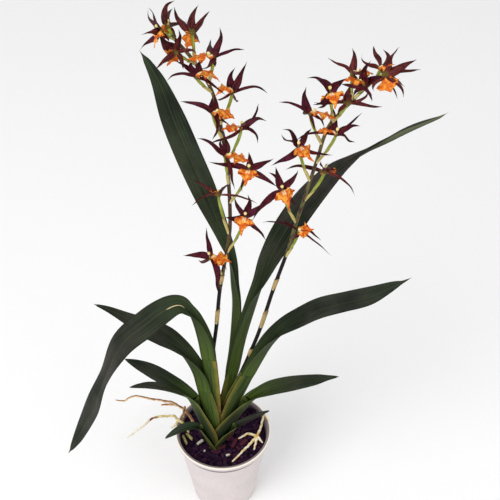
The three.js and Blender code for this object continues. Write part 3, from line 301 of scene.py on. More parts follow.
# Blooms. heart: step across, step down and depth. foot: the step down where its stalk leaves the
# stem. face: the way it looks, as parts across, up and towards the viewer. lip: steps across and
# up to the lip's tip, and how much it leans to the viewer. tepals: the same for each tip, how far
# the tepal bows to its left, and its share of the usual width. Where the lip isn't like most,
# lip_shape: its share of the usual width, and the share of its length where it is widest. Where
# the lip is seen from the side, front: the way its front looks, arch: how far its pull stands off
# its line, follow: how much the column follows the lip.
BLOOMS = {
    "bloom_left_01": {
        "heart": (161.8, 31.4, -33), "foot": 39, "face": (-0.8, 0.1, 0.4), "lip": (-8, -17, 0.2),
        "lip_shape": (0.8, 0.3),
        "tepals": [
            (-16.5, 22.2, 0.1, 2, 1.1), (-13, 23.8, 0.5, -1, 1.1), (-19, -2, 0.4, -1, 0.8),
            (-21.5, -17.5, -0.5, 2, 1), (8, -13, 0.2, 1, 0.6),
        ],
    },
    "bloom_left_02": {
        "heart": (168, 27, -27), "foot": 41, "face": (-0.2, 0.3, -0.8), "lip": (-6, -17, -0.5),
        "lip_shape": (0.6, 0.3),
        "tepals": [
            (4.5, 28.5, -0.2, 3.5, 1.2), (4, 18, -0.9, 0, 1.7), (-4, 16, -1, 1, 1.1),
            (10, -13, -0.7, 1, 0.6), (12, 4, -0.8, -1, 0.5),
        ],
    },
    "bloom_left_03": {
        "heart": (192, 33, -32), "foot": 64, "face": (-0.7, -0.1, -0.6), "lip": (-6, -19, -0.2),
        "lip_shape": (0.85, 0.35),
        "tepals": [
            (5.5, 28.5, -0.2, 0, 1.5), (-18, 25.5, -0.2, 2, 1.2), (16.5, 21, -0.5, -1.5, 0.7),
            (6, -9, -1, 1, 0.9), (-5, 12, -1, 0, 0.8),
        ],
    },
    "bloom_left_04": {
        "heart": (176.7, 52.8, -38), "foot": 64, "face": (-0.5, 0.2, -0.6),
        "lip": (-9, -14, -0.2),
        "tepals": [
            (5, 23, 0.2, 0, 1.1), (-15.5, 19, 0.2, 2, 1.6), (-19, -17, 0.4, -2, 0.8),
            (20, 1, 0.3, 2, 0.6), (10, -15, -0.1, 1, 0.5),
        ],
    },
    "bloom_left_05": {
        "heart": (213.5, 58, -36), "foot": 84, "face": (-0.3, 0.2, 0.9), "lip": (-27, -3, 0.1),
        "lip_shape": (1, 0.55), "front": (0, 0.92, 0.35), "arch": 5, "follow": 0.9,
        "tepals": [
            (9, 30, -0.1, -1, 0.8), (-2, 18, -0.9, 2, 1.1), (31, 10.5, -0.2, 2, 0.3),
            (-12, -11, 0.8, 1, 0.4), (4, -7, 0, 0, 0.5),
        ],
    },
    "bloom_left_06": {
        "heart": (196.2, 77.5, -36), "foot": 92, "face": (0.3, 0.2, 0.9), "lip": (24, -4, 0.2),
        "lip_shape": (0.9, 0.5), "front": (0, 0.92, 0.35), "arch": 12, "follow": 0.9,
        "tepals": [
            (-3, 17, 0.2, 1, 1.1), (3, 18, 0.2, 0, 1.1), (-19.5, 17.6, 0.2, -2, 0.6),
            (-30.6, -1.5, -0.2, -3, 0.25), (27, -18, 0.3, 5, 0.25),
        ],
    },
    "bloom_left_07": {
        "heart": (232, 93.3, -34), "foot": 124, "face": (-0.3, 0.2, 0.9), "lip": (-16, -4, 0.4),
        "lip_shape": (0.9, 0.5), "front": (0, 0.92, 0.4), "arch": 14, "follow": 0.9,
        "tepals": [
            (13, 32, 0.1, -3, 0.9), (1.5, 27.5, -0.2, 3, 0.95), (36, 1, 0, 5, 0.2),
            (-16, -6.5, 0.7, 2, 0.25), (5, -8.5, -0.8, 1, 0.5),
        ],
    },
    "bloom_left_08": {
        "heart": (212.5, 113.7, -32), "foot": 140, "face": (0.3, 0.2, 0.9), "lip": (22, -5, 0.5),
        "lip_shape": (1, 0.6), "front": (0.1, 0.85, 0.5), "arch": 8, "follow": 0.9,
        "tepals": [
            (-32, 12, 0, -4, 0.6), (-2, 18, -0.4, 1, 0.9), (3, 18, 0.4, -1, 0.9),
            (2, -27, 0.4, 6, 0.25), (16, -12, -0.4, 0, 0.4),
        ],
    },
    "bloom_left_09": {
        "heart": (241.2, 129.2, -30), "foot": 162, "face": (-0.2, 0.3, 0.9),
        "lip": (-19.5, -1, 0.4),
        "lip_shape": (1.1, 0.55), "front": (0, 0.93, 0.35), "arch": 5, "follow": -0.1,
        "tepals": [
            (20, 24.5, -0.2, -3, 0.25), (24.5, 11, 0.3, 2, 0.85), (18, -14, -0.3, 5, 0.3),
            (-31.7, -11.4, -0.1, 3, 0.3), (0, 8, 0.9, 0, 0.4),
        ],
    },
    "bloom_left_10": {
        "heart": (225, 156.5, -24), "foot": 184, "face": (0.2, 0.2, 0.9), "lip": (23, -6, 0.6),
        "lip_shape": (1, 0.6), "front": (0.25, 0.8, 0.5), "arch": 6, "follow": 0.9,
        "tepals": [
            (-2, 27, 0, -3, 0.95), (-6, 16, 0.6, 1, 0.5), (-28, 17, 0, -3, 0.45),
            (8, -33, 0.3, 4, 0.35), (10, 3, 0, 0, 0.4),
        ],
    },
    "bloom_left_11": {
        "heart": (248.9, 170.3, -31), "foot": 203, "face": (-0.15, 0.15, 0.95),
        "lip": (-4, -16, 0.3),
        "tepals": [
            (1, 18, -0.5, 0, 0.8), (25.6, 12, -0.2, 1, 0.8), (27.5, -17.6, -0.1, 1, 0.7),
            (-40, 8, 0, -2, 0.8), (-9, -20, -0.3, 1, 0.4),
        ],
    },
    "bloom_left_12": {
        "heart": (218.3, 195.5, -20), "foot": 234, "face": (-0.3, 0.4, -0.7),
        "lip": (-9, 5, -0.7),
        "lip_shape": (0.7, 0.3),
        "tepals": [
            (-24.5, 18, -0.2, 0, 0.4), (-27, -9, -0.2, -4, 0.2), (38, -9, 0, 4, 0.2),
            (12, 14, -0.6, 1, 0.6), (6, 5, -1, 0, 0.6),
        ],
    },
    "bloom_left_13": {
        "heart": (245, 217.5, -18), "foot": 253, "face": (-0.1, 0.15, 0.95),
        "lip": (-5, -18.5, 0.3),
        "tepals": [
            (5, 24, -0.3, -2, 0.9), (-9.5, 20.7, 0.3, 1, 0.6), (25.7, 18.5, 0.1, 0, 0.8),
            (-19, 1, -0.2, 1, 0.9), (23, -21, 0, 0, 0.5),
        ],
    },
    "bloom_left_14": {
        "heart": (210.7, 258.1, -16), "foot": 274, "face": (0.6, 0.1, 0.75), "lip": (21, -4, 0.3),
        "lip_shape": (1.15, 0.5), "front": (0.2, 0.7, 0.6), "arch": 5, "follow": -0.5,
        "tepals": [
            (-4, 31, -0.1, 1, 0.9), (-27.5, 4, 0.1, -2, 0.9), (-13, -3, -0.9, 1, 0.5),
            (5, -38, 0.1, 5, 1.05), (16, -13, -0.4, 0, 0.3),
        ],
    },
    "bloom_right_01": {
        "heart": (384, 74, -34), "foot": 78, "face": (0.3, -0.3, -0.85), "lip": (7, -18, 0.1),
        "lip_shape": (1.15, 0.6),
        "tepals": [
            (1, 25, 0.1, -2, 1.1), (31, 16.5, 0.2, -1, 1.3), (36, 3, 0, 2, 0.5),
            (-9, -18, -0.2, -1, 0.5), (20, -23, 0.3, 2, 0.4),
        ],
    },
    "bloom_right_02": {
        "heart": (380.5, 69, -25), "foot": 81, "face": (0.6, 0.4, -0.4), "lip": (14, 4, 0.6),
        "lip_shape": (0.7, 0.4), "front": (-0.2, 0.9, 0.3), "arch": 3, "follow": 3,
        "tepals": [
            (-6, 25, -0.3, 2, 1), (-18, 16, -0.3, 4, 0.6), (22, 20.5, -0.4, -1, 0.9),
            (25, -16, -0.6, 1, 0.4), (17, -30, -0.3, -1, 0.4),
        ],
    },
    "bloom_right_03": {
        "heart": (364.3, 84.4, -32), "foot": 98, "face": (-0.3, 0.2, 0.9), "lip": (-20, 3, 0.6),
        "lip_shape": (1, 0.55), "front": (-0.1, 0.9, 0.4), "arch": 6, "follow": 0.9,
        "tepals": [
            (4, 24, 0.6, 2, 1.4), (-22, 3, 0, 2, 0.5), (16, 8, 0.4, 1, 0.9),
            (-11, -12, 0, 1, 0.5), (5, -18, -0.1, 0, 0.4),
        ],
    },
    "bloom_right_04": {
        "heart": (352, 74.4, -28), "foot": 101, "face": (0.2, 0.3, -0.9), "lip": (22, 0, -0.2),
        "lip_shape": (1, 0.6), "front": (0, 0.95, 0.25), "arch": 4, "follow": 3,
        "tepals": [
            (1, 26, 0.1, -1, 0.85), (-24, 14, 0.1, -4, 0.35), (-6, 8, -1, 0, 0.5),
            (10, 6, 0.9, 0, 0.5), (2, -17, -1, 4.5, 0.3),
        ],
    },
    "bloom_right_05": {
        "heart": (330.6, 93.6, -32), "foot": 121, "face": (0.1, 0.4, 0.85),
        "lip": (6.5, -15, 0.5),
        "tepals": [
            (-13, 15, 0.4, -2, 1), (-23, 17, -0.2, -3, 0.7), (15, 17, 0, 1, 1),
            (-17, -10, 0.4, 2, 0.7), (-12, -16, 0, 2, 0.4),
        ],
    },
    "bloom_right_06": {
        "heart": (347.4, 103.5, -31), "foot": 122, "face": (0.2, 0.3, -0.9), "lip": (4, 9, -0.8),
        "lip_shape": (0.5, 0.3),
        "tepals": [
            (3, 22, 0.3, 1, 1), (35, -3, 0.1, 1, 0.4), (-33, -1, 0.2, -3, 0.3),
            (24, 11, 0.1, -2, 0.4), (-10, -12, 0, 0, 0.35),
        ],
    },
    "bloom_right_07": {
        "heart": (310, 114.2, -27), "foot": 144, "face": (0.3, 0.2, 0.9), "lip": (26, -4, 0.2),
        "lip_shape": (0.9, 0.6), "front": (0, 0.93, 0.3), "arch": 4, "follow": 0.9,
        "tepals": [
            (-6, 27, 0.2, 1, 1), (-31, 12, 0, -3, 0.25), (-8, 4, -1, 0, 0.5),
            (14, -14, 0.4, 3, 0.3), (4, -15, 0.1, 0, 0.3),
        ],
    },
    "bloom_right_08": {
        "heart": (336, 134.9, -30), "foot": 163, "face": (-0.2, 0.3, 0.9), "lip": (-18, 4, 0.3),
        "lip_shape": (0.6, 0.7), "front": (0, 0.8, 0.5), "arch": 5, "follow": -0.2,
        "tepals": [
            (-4, 27, -0.3, 2, 1.05), (25, 22, 0, -3, 0.25), (24, 10, 0.4, 1, 0.8),
            (18, -8, -0.5, 2, 0.3), (-40, -5, 0.1, -4, 0.2),
        ],
    },
    "bloom_right_09": {
        "heart": (298.9, 147.8, -28), "foot": 181, "face": (0.4, 0.4, 0.8), "lip": (14, -15, 0.4),
        "tepals": [
            (-15, 20, 0.2, -1, 0.9), (-18, 14, -0.5, -1, 0.5), (10, 21, 0, 1, 0.8),
            (-27.6, -18, 0.2, 3, 0.8), (34, -7, -0.1, -4, 0.5),
        ],
    },
    "bloom_right_10": {
        "heart": (324.4, 172.2, -15), "foot": 201, "face": (0.6, 0.3, -0.6),
        "lip": (12, -1, -0.5),
        "tepals": [
            (-3, 12, 0.7, 0, 0.8), (-39, 3, 0.1, -3, 0.45), (31.6, -22.5, 0.2, 4, 0.45),
            (5, 10, -0.6, 0, 0.8), (12, 4, 0.7, 0, 0.8),
        ],
    },
    "bloom_right_11": {
        "heart": (282.6, 190.6, -23), "foot": 223, "face": (0.15, 0.15, 0.95),
        "lip": (8, -19, 0.3),
        "tepals": [
            (-7, 23.5, -0.2, 1, 0.9), (14, 21, -0.1, 0, 0.9), (-14, 18, -0.3, -4, 0.5),
            (-32, -28, 0.1, -2, 0.8), (14, -18, -0.3, 0, 0.3),
        ],
    },
    "bloom_right_12": {
        "heart": (298.9, 231.4, -20), "foot": 257, "face": (0.5, 0.6, 0.5), "lip": (15, 1, 0.5),
        "lip_shape": (0.8, 0.4), "front": (0.1, 0.3, 0.9), "arch": 4, "follow": 0,
        "tepals": [
            (-36, 8, 0, -4, 0.4), (-23, 16, -0.2, -1, 0.45), (34, -23, 0.1, 2, 0.4),
            (21, -9, 0.5, 4, 0.6), (-6, -12, -0.3, -1.5, 0.6),
        ],
    },
}

# Aerial roots and roots on the soil, strand by strand: step across, step down, depth.
ROOTS = {
    "root_aerial_upper": [
        [
            (196, 428, 13), (191, 418, 22), (186, 411.5, 26), (181, 407.5, 31), (172, 402.5, 36),
            (158, 400, 42), (146, 398, 46), (137, 396, 49), (129, 398, 50), (124, 401, 50),
            (115, 400, 52),
        ],
        [(178, 405, 33), (170, 404.5, 35), (161, 405, 38)],
        [(185, 406, 22), (183.5, 415, 16), (181.5, 423, 12)],
    ],
    "root_aerial_lower": [
        [
            (189, 433, 3), (185.5, 426, 6), (178, 419.5, 9), (173, 416, 15), (160, 416.5, 18),
            (153, 418, 18), (149, 421, 16), (142, 427, 12), (127, 438, 4),
        ],
        [(178, 419.5, 9), (176, 424.5, 7), (171, 428, 7)],
    ],
    "root_on_soil": [
        [(257, 436, -2), (248, 434, 1), (238, 439, -6.5)],
        [(257, 436, -2), (251, 443, -12.8), (245, 449, -22.2), (232, 462, -44)],
        [(257, 436, -2), (261, 427, 10.5), (264, 416, 19), (270, 421, 12.3)],
        [(257, 436, -2), (263, 443, -12.7)],
        [(257, 436, -2), (256, 442, -11.2), (254, 450, -23.6)],
    ],
}

# How fresh a root looks: tan and woody at nought, straw at a half, white at one.
ROOT_KINDS = {"root_aerial_upper": 0, "root_aerial_lower": 0.5, "root_on_soil": 1}

# Chips that stand out on the soil: step across and down, size, spin in degrees, and tone.
MARKED_CHIPS = [
    ((230, 436), (17, 5, 3), 60, (0.4, 1, 0)), ((234.5, 442.6), (14, 4.5, 3), 61, (0.6, 1, 0)),
    ((243.5, 442.5), (12, 5, 2.5), 40, (0.2, 1, 0)), ((238, 448), (7, 3, 2), -60, (0.5, 1, 0)),
    ((222, 447), (10, 5, 3), 20, (0.3, 0.7, 0)), ((216, 451), (12, 7, 3), -30, (0.5, 0.4, 0)),
    ((200.2, 442), (10.5, 3.6, 3), 40, (0, 0, 1)), ((228, 455), (5, 3, 2), 0, (0, 0, 1)),
    ((204.5, 450.8), (3.5, 2, 1.6), 60, (0, 0, 0.8)),
    ((236.7, 433), (3, 2, 1.6), 20, (0, 0, 0.8)),
    ((184.5, 439.5), (17, 3.6, 3.4), -67, (1, 0, 1)),
    ((189.3, 436.5), (14, 3.4, 3.2), -53, (1, 0, 1)),
]


# Places and paths

def unit(vectors):
    """Directions: each vector divided by its own length."""
    return vectors / np.maximum(np.linalg.norm(vectors, axis=-1, keepdims=True), 1e-9)


def dot(first, second):
    """How far one set of vectors goes along another, kept as a column."""
    return np.sum(first * second, axis=-1, keepdims=True)


def gathered(*parts):
    """Rows, columns, grids or single numbers, spread over one grid and set side by side."""
    return np.stack(np.broadcast_arrays(*parts), axis=-1)


def turns(count):
    """Even steps once round, in radians."""
    return 2 * np.pi * np.arange(count) / count


def ease(value, low, high):
    """A share from 0 to 1 between two limits, with soft ends: s^2 (3 - 2 s)."""
    share = np.clip((value - low) / (high - low), 0, 1)
    return share * share * (3 - 2 * share)


def bell(value, middle, width):
    """One at the middle and falling off on both sides: e to the minus square of the way
    from the middle in widths."""
    return np.exp(-(((value - middle) / width) ** 2))


def power(wave, exponent):
    """A wave raised to a power, with its sign kept."""
    return np.sign(wave) * np.abs(wave) ** exponent


def sight(across, down):
    """The line of sight through steps of the picture, as long as one along the axis."""
    side = (np.asarray(across, float) - EYE_MIDDLE) / EYE_FOCAL
    rise = (EYE_MIDDLE - np.asarray(down, float)) / EYE_FOCAL
    return AXIS + ACROSS * side[..., None] + RISE * rise[..., None]


def seen(across, down, y):
    """Where a line of sight meets a depth: the eye plus the line, stretched to that Y."""
    line = sight(across, down)
    stretch = (np.asarray(y, float) - EYE[1]) / line[..., 1]
    return EYE + line * stretch[..., None]


def marked(rows):
    """The places of a table's rows, from their steps across and down and their depths."""
    across, down, depth = np.array(rows, float).T[:3]
    return seen(across, down, depth)


def run(path):
    """Distance gone along a path at each of its points."""
    return np.concatenate([[0], np.cumsum(np.linalg.norm(np.diff(path, axis=0), axis=1))])


def shares(path):
    """Share of a path's length gone at each of its points."""
    way = run(path)
    return way / way[-1]


def read_along(steps, way, path):
    """The points of a path at steps of its way."""
    return gathered(*(np.interp(steps, way, path[:, k]) for k in range(3)))


def spline(rows, places):
    """Rows read between their own: a cubic whose slope at each row is half the step between
    its neighbours."""
    full = np.vstack([2 * rows[0] - rows[1], rows, 2 * rows[-1] - rows[-2]])
    start = np.clip(np.floor(places).astype(int), 0, len(rows) - 2)
    t = (places - start)[:, None]
    before, here, there, after = (full[start + k] for k in range(4))
    slope_here = (there - before) / 2
    slope_there = (after - here) / 2
    lift = 2 * (here - there) + slope_here + slope_there
    bow = 3 * (there - here) - 2 * slope_here - slope_there
    return ((lift * t + bow) * t + slope_here) * t + here


def smooth_path(points, count):
    """The spline through points, read at even steps of its own length."""
    fine = spline(points, np.linspace(0, len(points) - 1, STEPS_PER_POINT * len(points)))
    way = run(fine)
    return read_along(np.linspace(0, way[-1], count), way, fine)


def bent(start, pull, end, share):
    """A curve between two points, drawn towards a third: (1-s)^2 a + 2 s (1-s) b + s^2 c."""
    s = share[:, None]
    return (1 - s) ** 2 * start + 2 * s * (1 - s) * pull + s**2 * end


def axes(path, face):
    """Along, side and face of a path: face is turned square to the path's own direction."""
    along = unit(np.gradient(path, axis=0))
    square = unit(face - along * dot(face, along))
    return along, np.cross(along, square), square


# Skins and pieces

def link(item):
    """Puts an object in the scene."""
    bpy.context.scene.collection.objects.link(item)


class Piece:
    """The closed skins of one piece, gathered before its mesh is made. Each point carries
    its grain and its tone, three numbers each, for its finish to read."""

    def __init__(self, name, slot, *nodes):
        self.name = name
        self.slot = slot
        self.nodes = nodes
        self.skins = []
        self.count = 0

    def add(self, grid, grain=(0, 0, 0), tone=(0, 0, 0), ring=False):
        """Adds a skin over a grid of rings. The ends close on a pole at the end ring's middle,
        or with ring the last ring joins the first. Where its volume is negative it is turned."""
        rings, around = grid.shape[:2]
        facts = [grid, gathered(*grain), gathered(*tone)]
        flat = [np.broadcast_to(fact, grid.shape).reshape(-1, 3) for fact in facts]
        number = np.arange(rings * around).reshape(rings, around)
        beside = np.roll(number, -1, axis=1)
        if ring:
            ahead = np.roll(number, -1, axis=0)
            quads = gathered(number, beside, np.roll(ahead, -1, axis=1), ahead)
            tris = np.zeros((0, 3), int)
        else:
            quads = gathered(number[:-1], beside[:-1], beside[1:], number[1:])
            pole = number.size
            low = gathered(pole, beside[0], number[0])
            high = gathered(pole + 1, number[-1], beside[-1])
            tris = np.concatenate([low, high])
            ends = slice(None, around), slice(-around, None)
            flat = [np.vstack([fact, *(fact[end].mean(0) for end in ends)]) for fact in flat]
        quads = quads.reshape(-1, 4)
        corners = np.concatenate([quads[:, [0, 1, 2]], quads[:, [0, 2, 3]], tris])
        a, b, c = (flat[0][corners[:, k]] - flat[0].mean(0) for k in range(3))
        if np.sum(a * np.cross(b, c)) < 0:
            quads = quads[:, ::-1]
            tris = tris[:, ::-1]
        self.skins.append((*flat, quads + self.count, tris + self.count))
        self.count += len(flat[0])

    def make(self, finish):
        """The mesh object in metres, at the origin, with its finish, riding on the body."""
        points, grain, tone, quads, tris = (np.concatenate(part) for part in zip(*self.skins))
        mesh = bpy.data.meshes.new(self.name)
        mesh.from_pydata(points * MM, [], quads.tolist() + tris.tolist())
        for name, fact in (("grain", grain), ("tone", tone)):
            layer = mesh.attributes.new(name, "FLOAT_VECTOR", "POINT")
            layer.data.foreach_set("vector", fact.astype(np.float32).ravel())
        mesh.shade_smooth()
        mesh.materials.append(finish)
        item = bpy.data.objects.new(self.name, mesh)
        link(item)
        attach(item, BODY)
        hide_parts(*self.nodes)
        return item


def section(around):
    """Once round a leaf's section: share across, minus one to one and back, and its side,
    one above and minus one below: a turn's cosine and sine, each raised to a power."""
    across = power(np.cos(turns(around)), 1.15)
    skin = power(np.sin(turns(around)), 0.5)
    return np.round(across, 6), np.round(skin, 6)


def leaf_skin(path, leaf_axes, half, fold, thickness, lift, around, spread=None):
    """A folded leaf's skin: each half goes out by the fold's cosine along the side and by its
    sine along the face, rounded at the rib, and half the thickness is set off square to it.
    thickness is given at the rib and at the edge, lift moves the skin off square, and spread,
    where given, is the whole way out along the side."""
    _, side, face = (part[:, None] for part in leaf_axes)
    half = half[:, None]
    cos = np.cos(fold)[:, None]
    sin = np.sin(fold)[:, None]
    across, skin = section(around)
    rounding = 0.06
    bare = np.sqrt(across**2 + rounding**2)
    sideways = across * half * cos if spread is None else spread
    upwards = (bare - rounding) * half * sin
    square = unit(face * cos[..., None] - side * (across / bare * sin)[..., None])
    thick = np.interp(np.abs(across), (0, 1), thickness) * np.minimum(1, half / 2)
    depth = thick / 2 * skin + lift
    out = side * sideways[..., None] + face * upwards[..., None] + square * depth[..., None]
    return path[:, None] + out


def tube(path, radius, around, reference, ribs=0.0, rib_count=6):
    """A round skin along a path, its radius told for each point, with shallow ribs: radius
    times one plus ribs times the cosine of rib_count turns."""
    _, side, face = axes(path, reference)
    turn = turns(around)
    wide = radius[:, None] * (1 + ribs * np.cos(rib_count * turn))
    round_way = side[:, None] * np.cos(turn)[:, None] + face[:, None] * np.sin(turn)[:, None]
    return path[:, None] + round_way * wide[..., None]


def turned(profile, around):
    """A profile of radius and height carried round the upright axis."""
    radius, height = np.array(profile, float).T[..., None]
    return gathered(radius * np.cos(turns(around)), radius * np.sin(turns(around)), height)


def ball(rings, around):
    """A ball's rings at even heights, each as wide as the root of one minus height squared."""
    height = np.linspace(-1, 1, rings + 2)[1:-1]
    return turned(np.stack([np.sqrt(1 - height**2), height], axis=1), around)


def round_ends(share, half, exponent, least):
    """How wide a tube with round ends is: the root of one minus a high power of the way from
    its middle over half, and that difference is no less than least."""
    return np.sqrt(np.clip(1 - ((share - 0.5) / half) ** exponent, least, 1))


def leaf_grain(path, across, half, third):
    """Grain of a leaf's skin: millimetres across and along it, and a third number."""
    return across * half[:, None], run(path)[:, None], third


def tube_grain(around, width, way, share):
    """Grain of a tube: width times the share of a turn, the way and the share along it."""
    return width * np.arange(around) / around, way[:, None], share[:, None]


# Leaves and sheaths

def leaf_stations(name, places):
    """A leaf at places between its rows: path, axes, half width and fold, from the spline of
    its rows. Along is the way from a tenth of a row before to a tenth after."""
    rows = np.array(LEAVES[name]["rows"], float)
    table = np.hstack([marked(rows), rows[:, 3:]])
    stations = spline(table, places)
    last = len(rows) - 1
    ahead = spline(table[:, :3], np.clip(places + 0.1, 0, last))
    behind = spline(table[:, :3], np.clip(places - 0.1, 0, last))
    along = unit(ahead - behind)
    upper = stations[:, 5:]
    face = unit(upper - along * dot(upper, along))
    half = np.maximum(stations[:, 3], LEAST_HALF_WIDTH)
    fold = np.radians(np.maximum(stations[:, 4], 0))
    return stations[:, :3], (along, np.cross(along, face), face), half, fold


def leaf_relief(across, skin, half, way, phase):
    """What lifts a leaf's skin: a groove over the rib and a keel under it, halves that swell
    between rib and edge, and edges that wave slowly along the leaf."""
    half = half[:, None]
    away = np.abs(across)
    groove = -GROOVE_DEPTH * bell(across * half, 0, GROOVE_WIDTH) * np.minimum(1, half / 4)
    keel = groove * (skin < 0) * KEEL_SHARE
    swell = HALF_SWELL * half * away * (1 - away)
    wave = EDGE_WAVE * np.sin(way[:, None] / EDGE_WAVE_PITCH + phase + 1.5 * np.sign(across))
    return groove + keel + swell + wave * across**2 * np.minimum(1, half / 8)


def blade(name, phase):
    """A leaf's blade from just inside its joint to its pointed tip. Its tone says how much
    painted light it takes, how brown and how young it is, and a light below nought marks a
    painted highlight along the rib."""
    leaf = LEAVES[name]
    last = len(leaf["rows"]) - 1
    count = (last - leaf["joint"]) * STATIONS_PER_ROW + 3
    places = np.linspace(leaf["joint"] - 0.3, last, count)
    path, leaf_axes, half, fold = leaf_stations(name, places)
    way = run(path)
    share = shares(path)
    tucked_in = 1 - 0.03 * (way == 0)
    half = half * (1 - ease(share, 0.97, 1.0) * 0.85) * tucked_in
    across, skin = section(LEAF_AROUND)
    lift = leaf_relief(across, skin, half, way, phase) * ease(way, 2, 25)[:, None]
    grid = leaf_skin(path, leaf_axes, half, fold, BLADE_THICKNESS, lift, LEAF_AROUND)
    low, high = leaf["brown"]
    brown = (low + (high - low) * ease(share, 0.3, 0.6)) * (1 - 0.7 * ease(share, 0.75, 0.95))
    young = np.exp(-((way / leaf["young"]) ** 1.5))[:, None]
    # Painted light: one half is painted lighter as if lit, and near the tip one half again; the
    # under side is kept a little paler.
    light = np.abs(leaf["lit"]) * ease(across * np.sign(leaf["lit"]), 0, 0.3) * (0.15 + young)
    lit_end = ease(across * leaf.get("lit_end", 0), 0, 0.2) * ease(share, 0.78, 0.88)[:, None]
    light = np.maximum((skin < 0) * 0.35, light + 2.2 * lit_end)
    # A painted highlight along the rib, over a share of the blade, marked by a light below nought.
    highlight_from, highlight_to = leaf.get("rib_highlight", (2, 3))
    pale = np.clip((share - highlight_from) / (highlight_to - highlight_from), 0, 1)
    light = light - 3 * np.sin(np.pi * pale)[:, None]
    piece = Piece(name + "_blade", "leaf", name)
    grain = leaf_grain(path, across, half, np.abs(across))
    piece.add(grid, grain, (light, brown[:, None], young))
    return piece


def sheath(name, piece):
    """A leaf's folded foot, from the soil to its joint. At the soil its two walls run beside
    the fan, off its middle by a set way times one minus the cube of the share left to the
    edge, and towards the joint they close to the leaf's own fold. Its tone says how far the
    edge is, how much painted shade darkens it and how high."""
    leaf = LEAVES[name]
    joint = leaf["joint"]
    places = np.append(np.linspace(0, joint - 0.02, 10 * joint), joint)
    path, leaf_axes, half, fold = leaf_stations(name, places)
    half = half + np.interp(places, np.arange(joint + 1), leaf["wrap"])
    share = shares(path)[:, None]
    close = ease(share, 0.3, 1.0)
    across, _ = section(LEAF_AROUND)
    away = np.abs(across)
    own = across * (half * np.cos(fold))[:, None]
    wall = np.sign(across) * leaf["stand"] * (1 - (1 - away) ** 3)
    spread = wall * (1 - close) + own * close
    fold = SHEATH_FOLD + (fold - SHEATH_FOLD) * close[:, 0]
    lift = 0.15 * np.sin(6 * across + 5 * share) * (1 - close)
    grid = leaf_skin(path, leaf_axes, half, fold, SHEATH_THICKNESS, lift, LEAF_AROUND, spread)
    to_edge = (1 - away) * half[:, None]
    piece.add(grid, leaf_grain(path, across, half, leaf["gold"]), (to_edge, leaf["dark"], share))


def crown():
    """The shoot's foot and the fan of sheaths. The foot is a squat oval bulb whose rings have
    nine shallow ribs."""
    piece = Piece("crown_sheaths", "sheath", "crown")
    for name in LEAVES:
        sheath(name, piece)
    around = 32
    bulb = ball(15, around)
    bulb[..., :2] *= 1 + 0.05 * np.cos(9 * turns(around))[:, None]
    grid = FOOT - np.array([0, 0, BULB_SUNK]) + bulb * BULB_HALF_SIZE
    piece.add(grid, (BULB_HALF_SIZE[0] * turns(around), grid[..., 2], 0), (0.2, 0.6, 0.1))
    return piece


# Spikes

def stem_at(side, down):
    """The point of a stem at a given step down."""
    across, steps_down, depth = np.array(STEMS[side][::-1], float).T
    return seen(np.interp(down, steps_down, across), down, np.interp(down, steps_down, depth))


def stem_radius(share):
    """A stem's own radius: it thins evenly from its foot to its tip."""
    return STEM_FOOT_RADIUS + (STEM_TIP_RADIUS - STEM_FOOT_RADIUS) * share


def stem(side, piece):
    """A stem: a tube that thins towards its tip, with a bell's curve of swelling at the foot
    of each bract."""
    path = smooth_path(marked(STEMS[side]), STEM_STEPS)
    way = run(path)
    share = shares(path)
    radius = stem_radius(share)
    for node, length in BRACTS[side]:
        bract_foot = node * way[-1] - length / 2 + 1
        radius = radius + NODE_SWELL * bell(way, bract_foot, NODE_LENGTH)
    front = np.array([0, -1.0, 0.2])
    grid = tube(path, radius, STEM_AROUND, front, ribs=0.03, rib_count=5)
    redder = float(side == "left")
    piece.add(grid, tube_grain(STEM_AROUND, 12, way, share), (0, redder, 0))
    return path


def stalk(name, side, piece):
    """A flower's stalk and ovary: a ribbed tube, thin at the stem, fullest near the bloom."""
    heart = seen(*BLOOMS[name]["heart"])
    start = stem_at(side, BLOOMS[name]["foot"])
    pull = heart + (start - heart) * np.array([0.12, 0.35, 0.35])
    path = bent(start, pull, heart, np.linspace(0, 0.99, STALK_STEPS))
    share = shares(path)
    bulge = ease(share, 0.3, 0.6) * (1 - 0.45 * ease(share, 0.8, 1.0))
    radius = STALK_RADIUS + (OVARY_RADIUS - STALK_RADIUS) * bulge
    front = np.array([0.1, -1.0, 0.2])
    grid = tube(path, radius, STALK_AROUND, front, ribs=0.09, rib_count=3)
    piece.add(grid, tube_grain(STALK_AROUND, 6, run(path), share), (1, 0, 0))
    return path


def sleeve(path, radius, opening, piece, flare, slant, pale):
    """A papery bract round a stem: an outer and an inner skin that flare with the square of
    the height. Its rim rises to a point on one side: the height is cut by slant times a power
    of half of one minus the cosine of the turn. pale says how much paler than straw it is."""
    up = np.linspace(0, 1, SLEEVE_STEPS)
    up = np.concatenate([up, up[::-1]])[:, None]
    inner = np.repeat([0.0, 1.0], SLEEVE_STEPS)[:, None]
    turn = turns(SLEEVE_AROUND)
    share = up * (1 - slant * (0.5 - 0.5 * np.cos(turn)) ** 0.7)
    wide = radius * (1 + 0.04 * np.cos(7 * turn)) + flare * share**2 - BRACT_WALL * inner
    _, side, face = axes(path, opening)
    out = face[0] * np.cos(turn)[:, None] + side[0] * np.sin(turn)[:, None]
    grid = read_along(share, shares(path), path) + out * wide[..., None]
    grain = radius * turn, share * run(path)[-1], share
    piece.add(grid, grain, (share, inner, pale), ring=True)


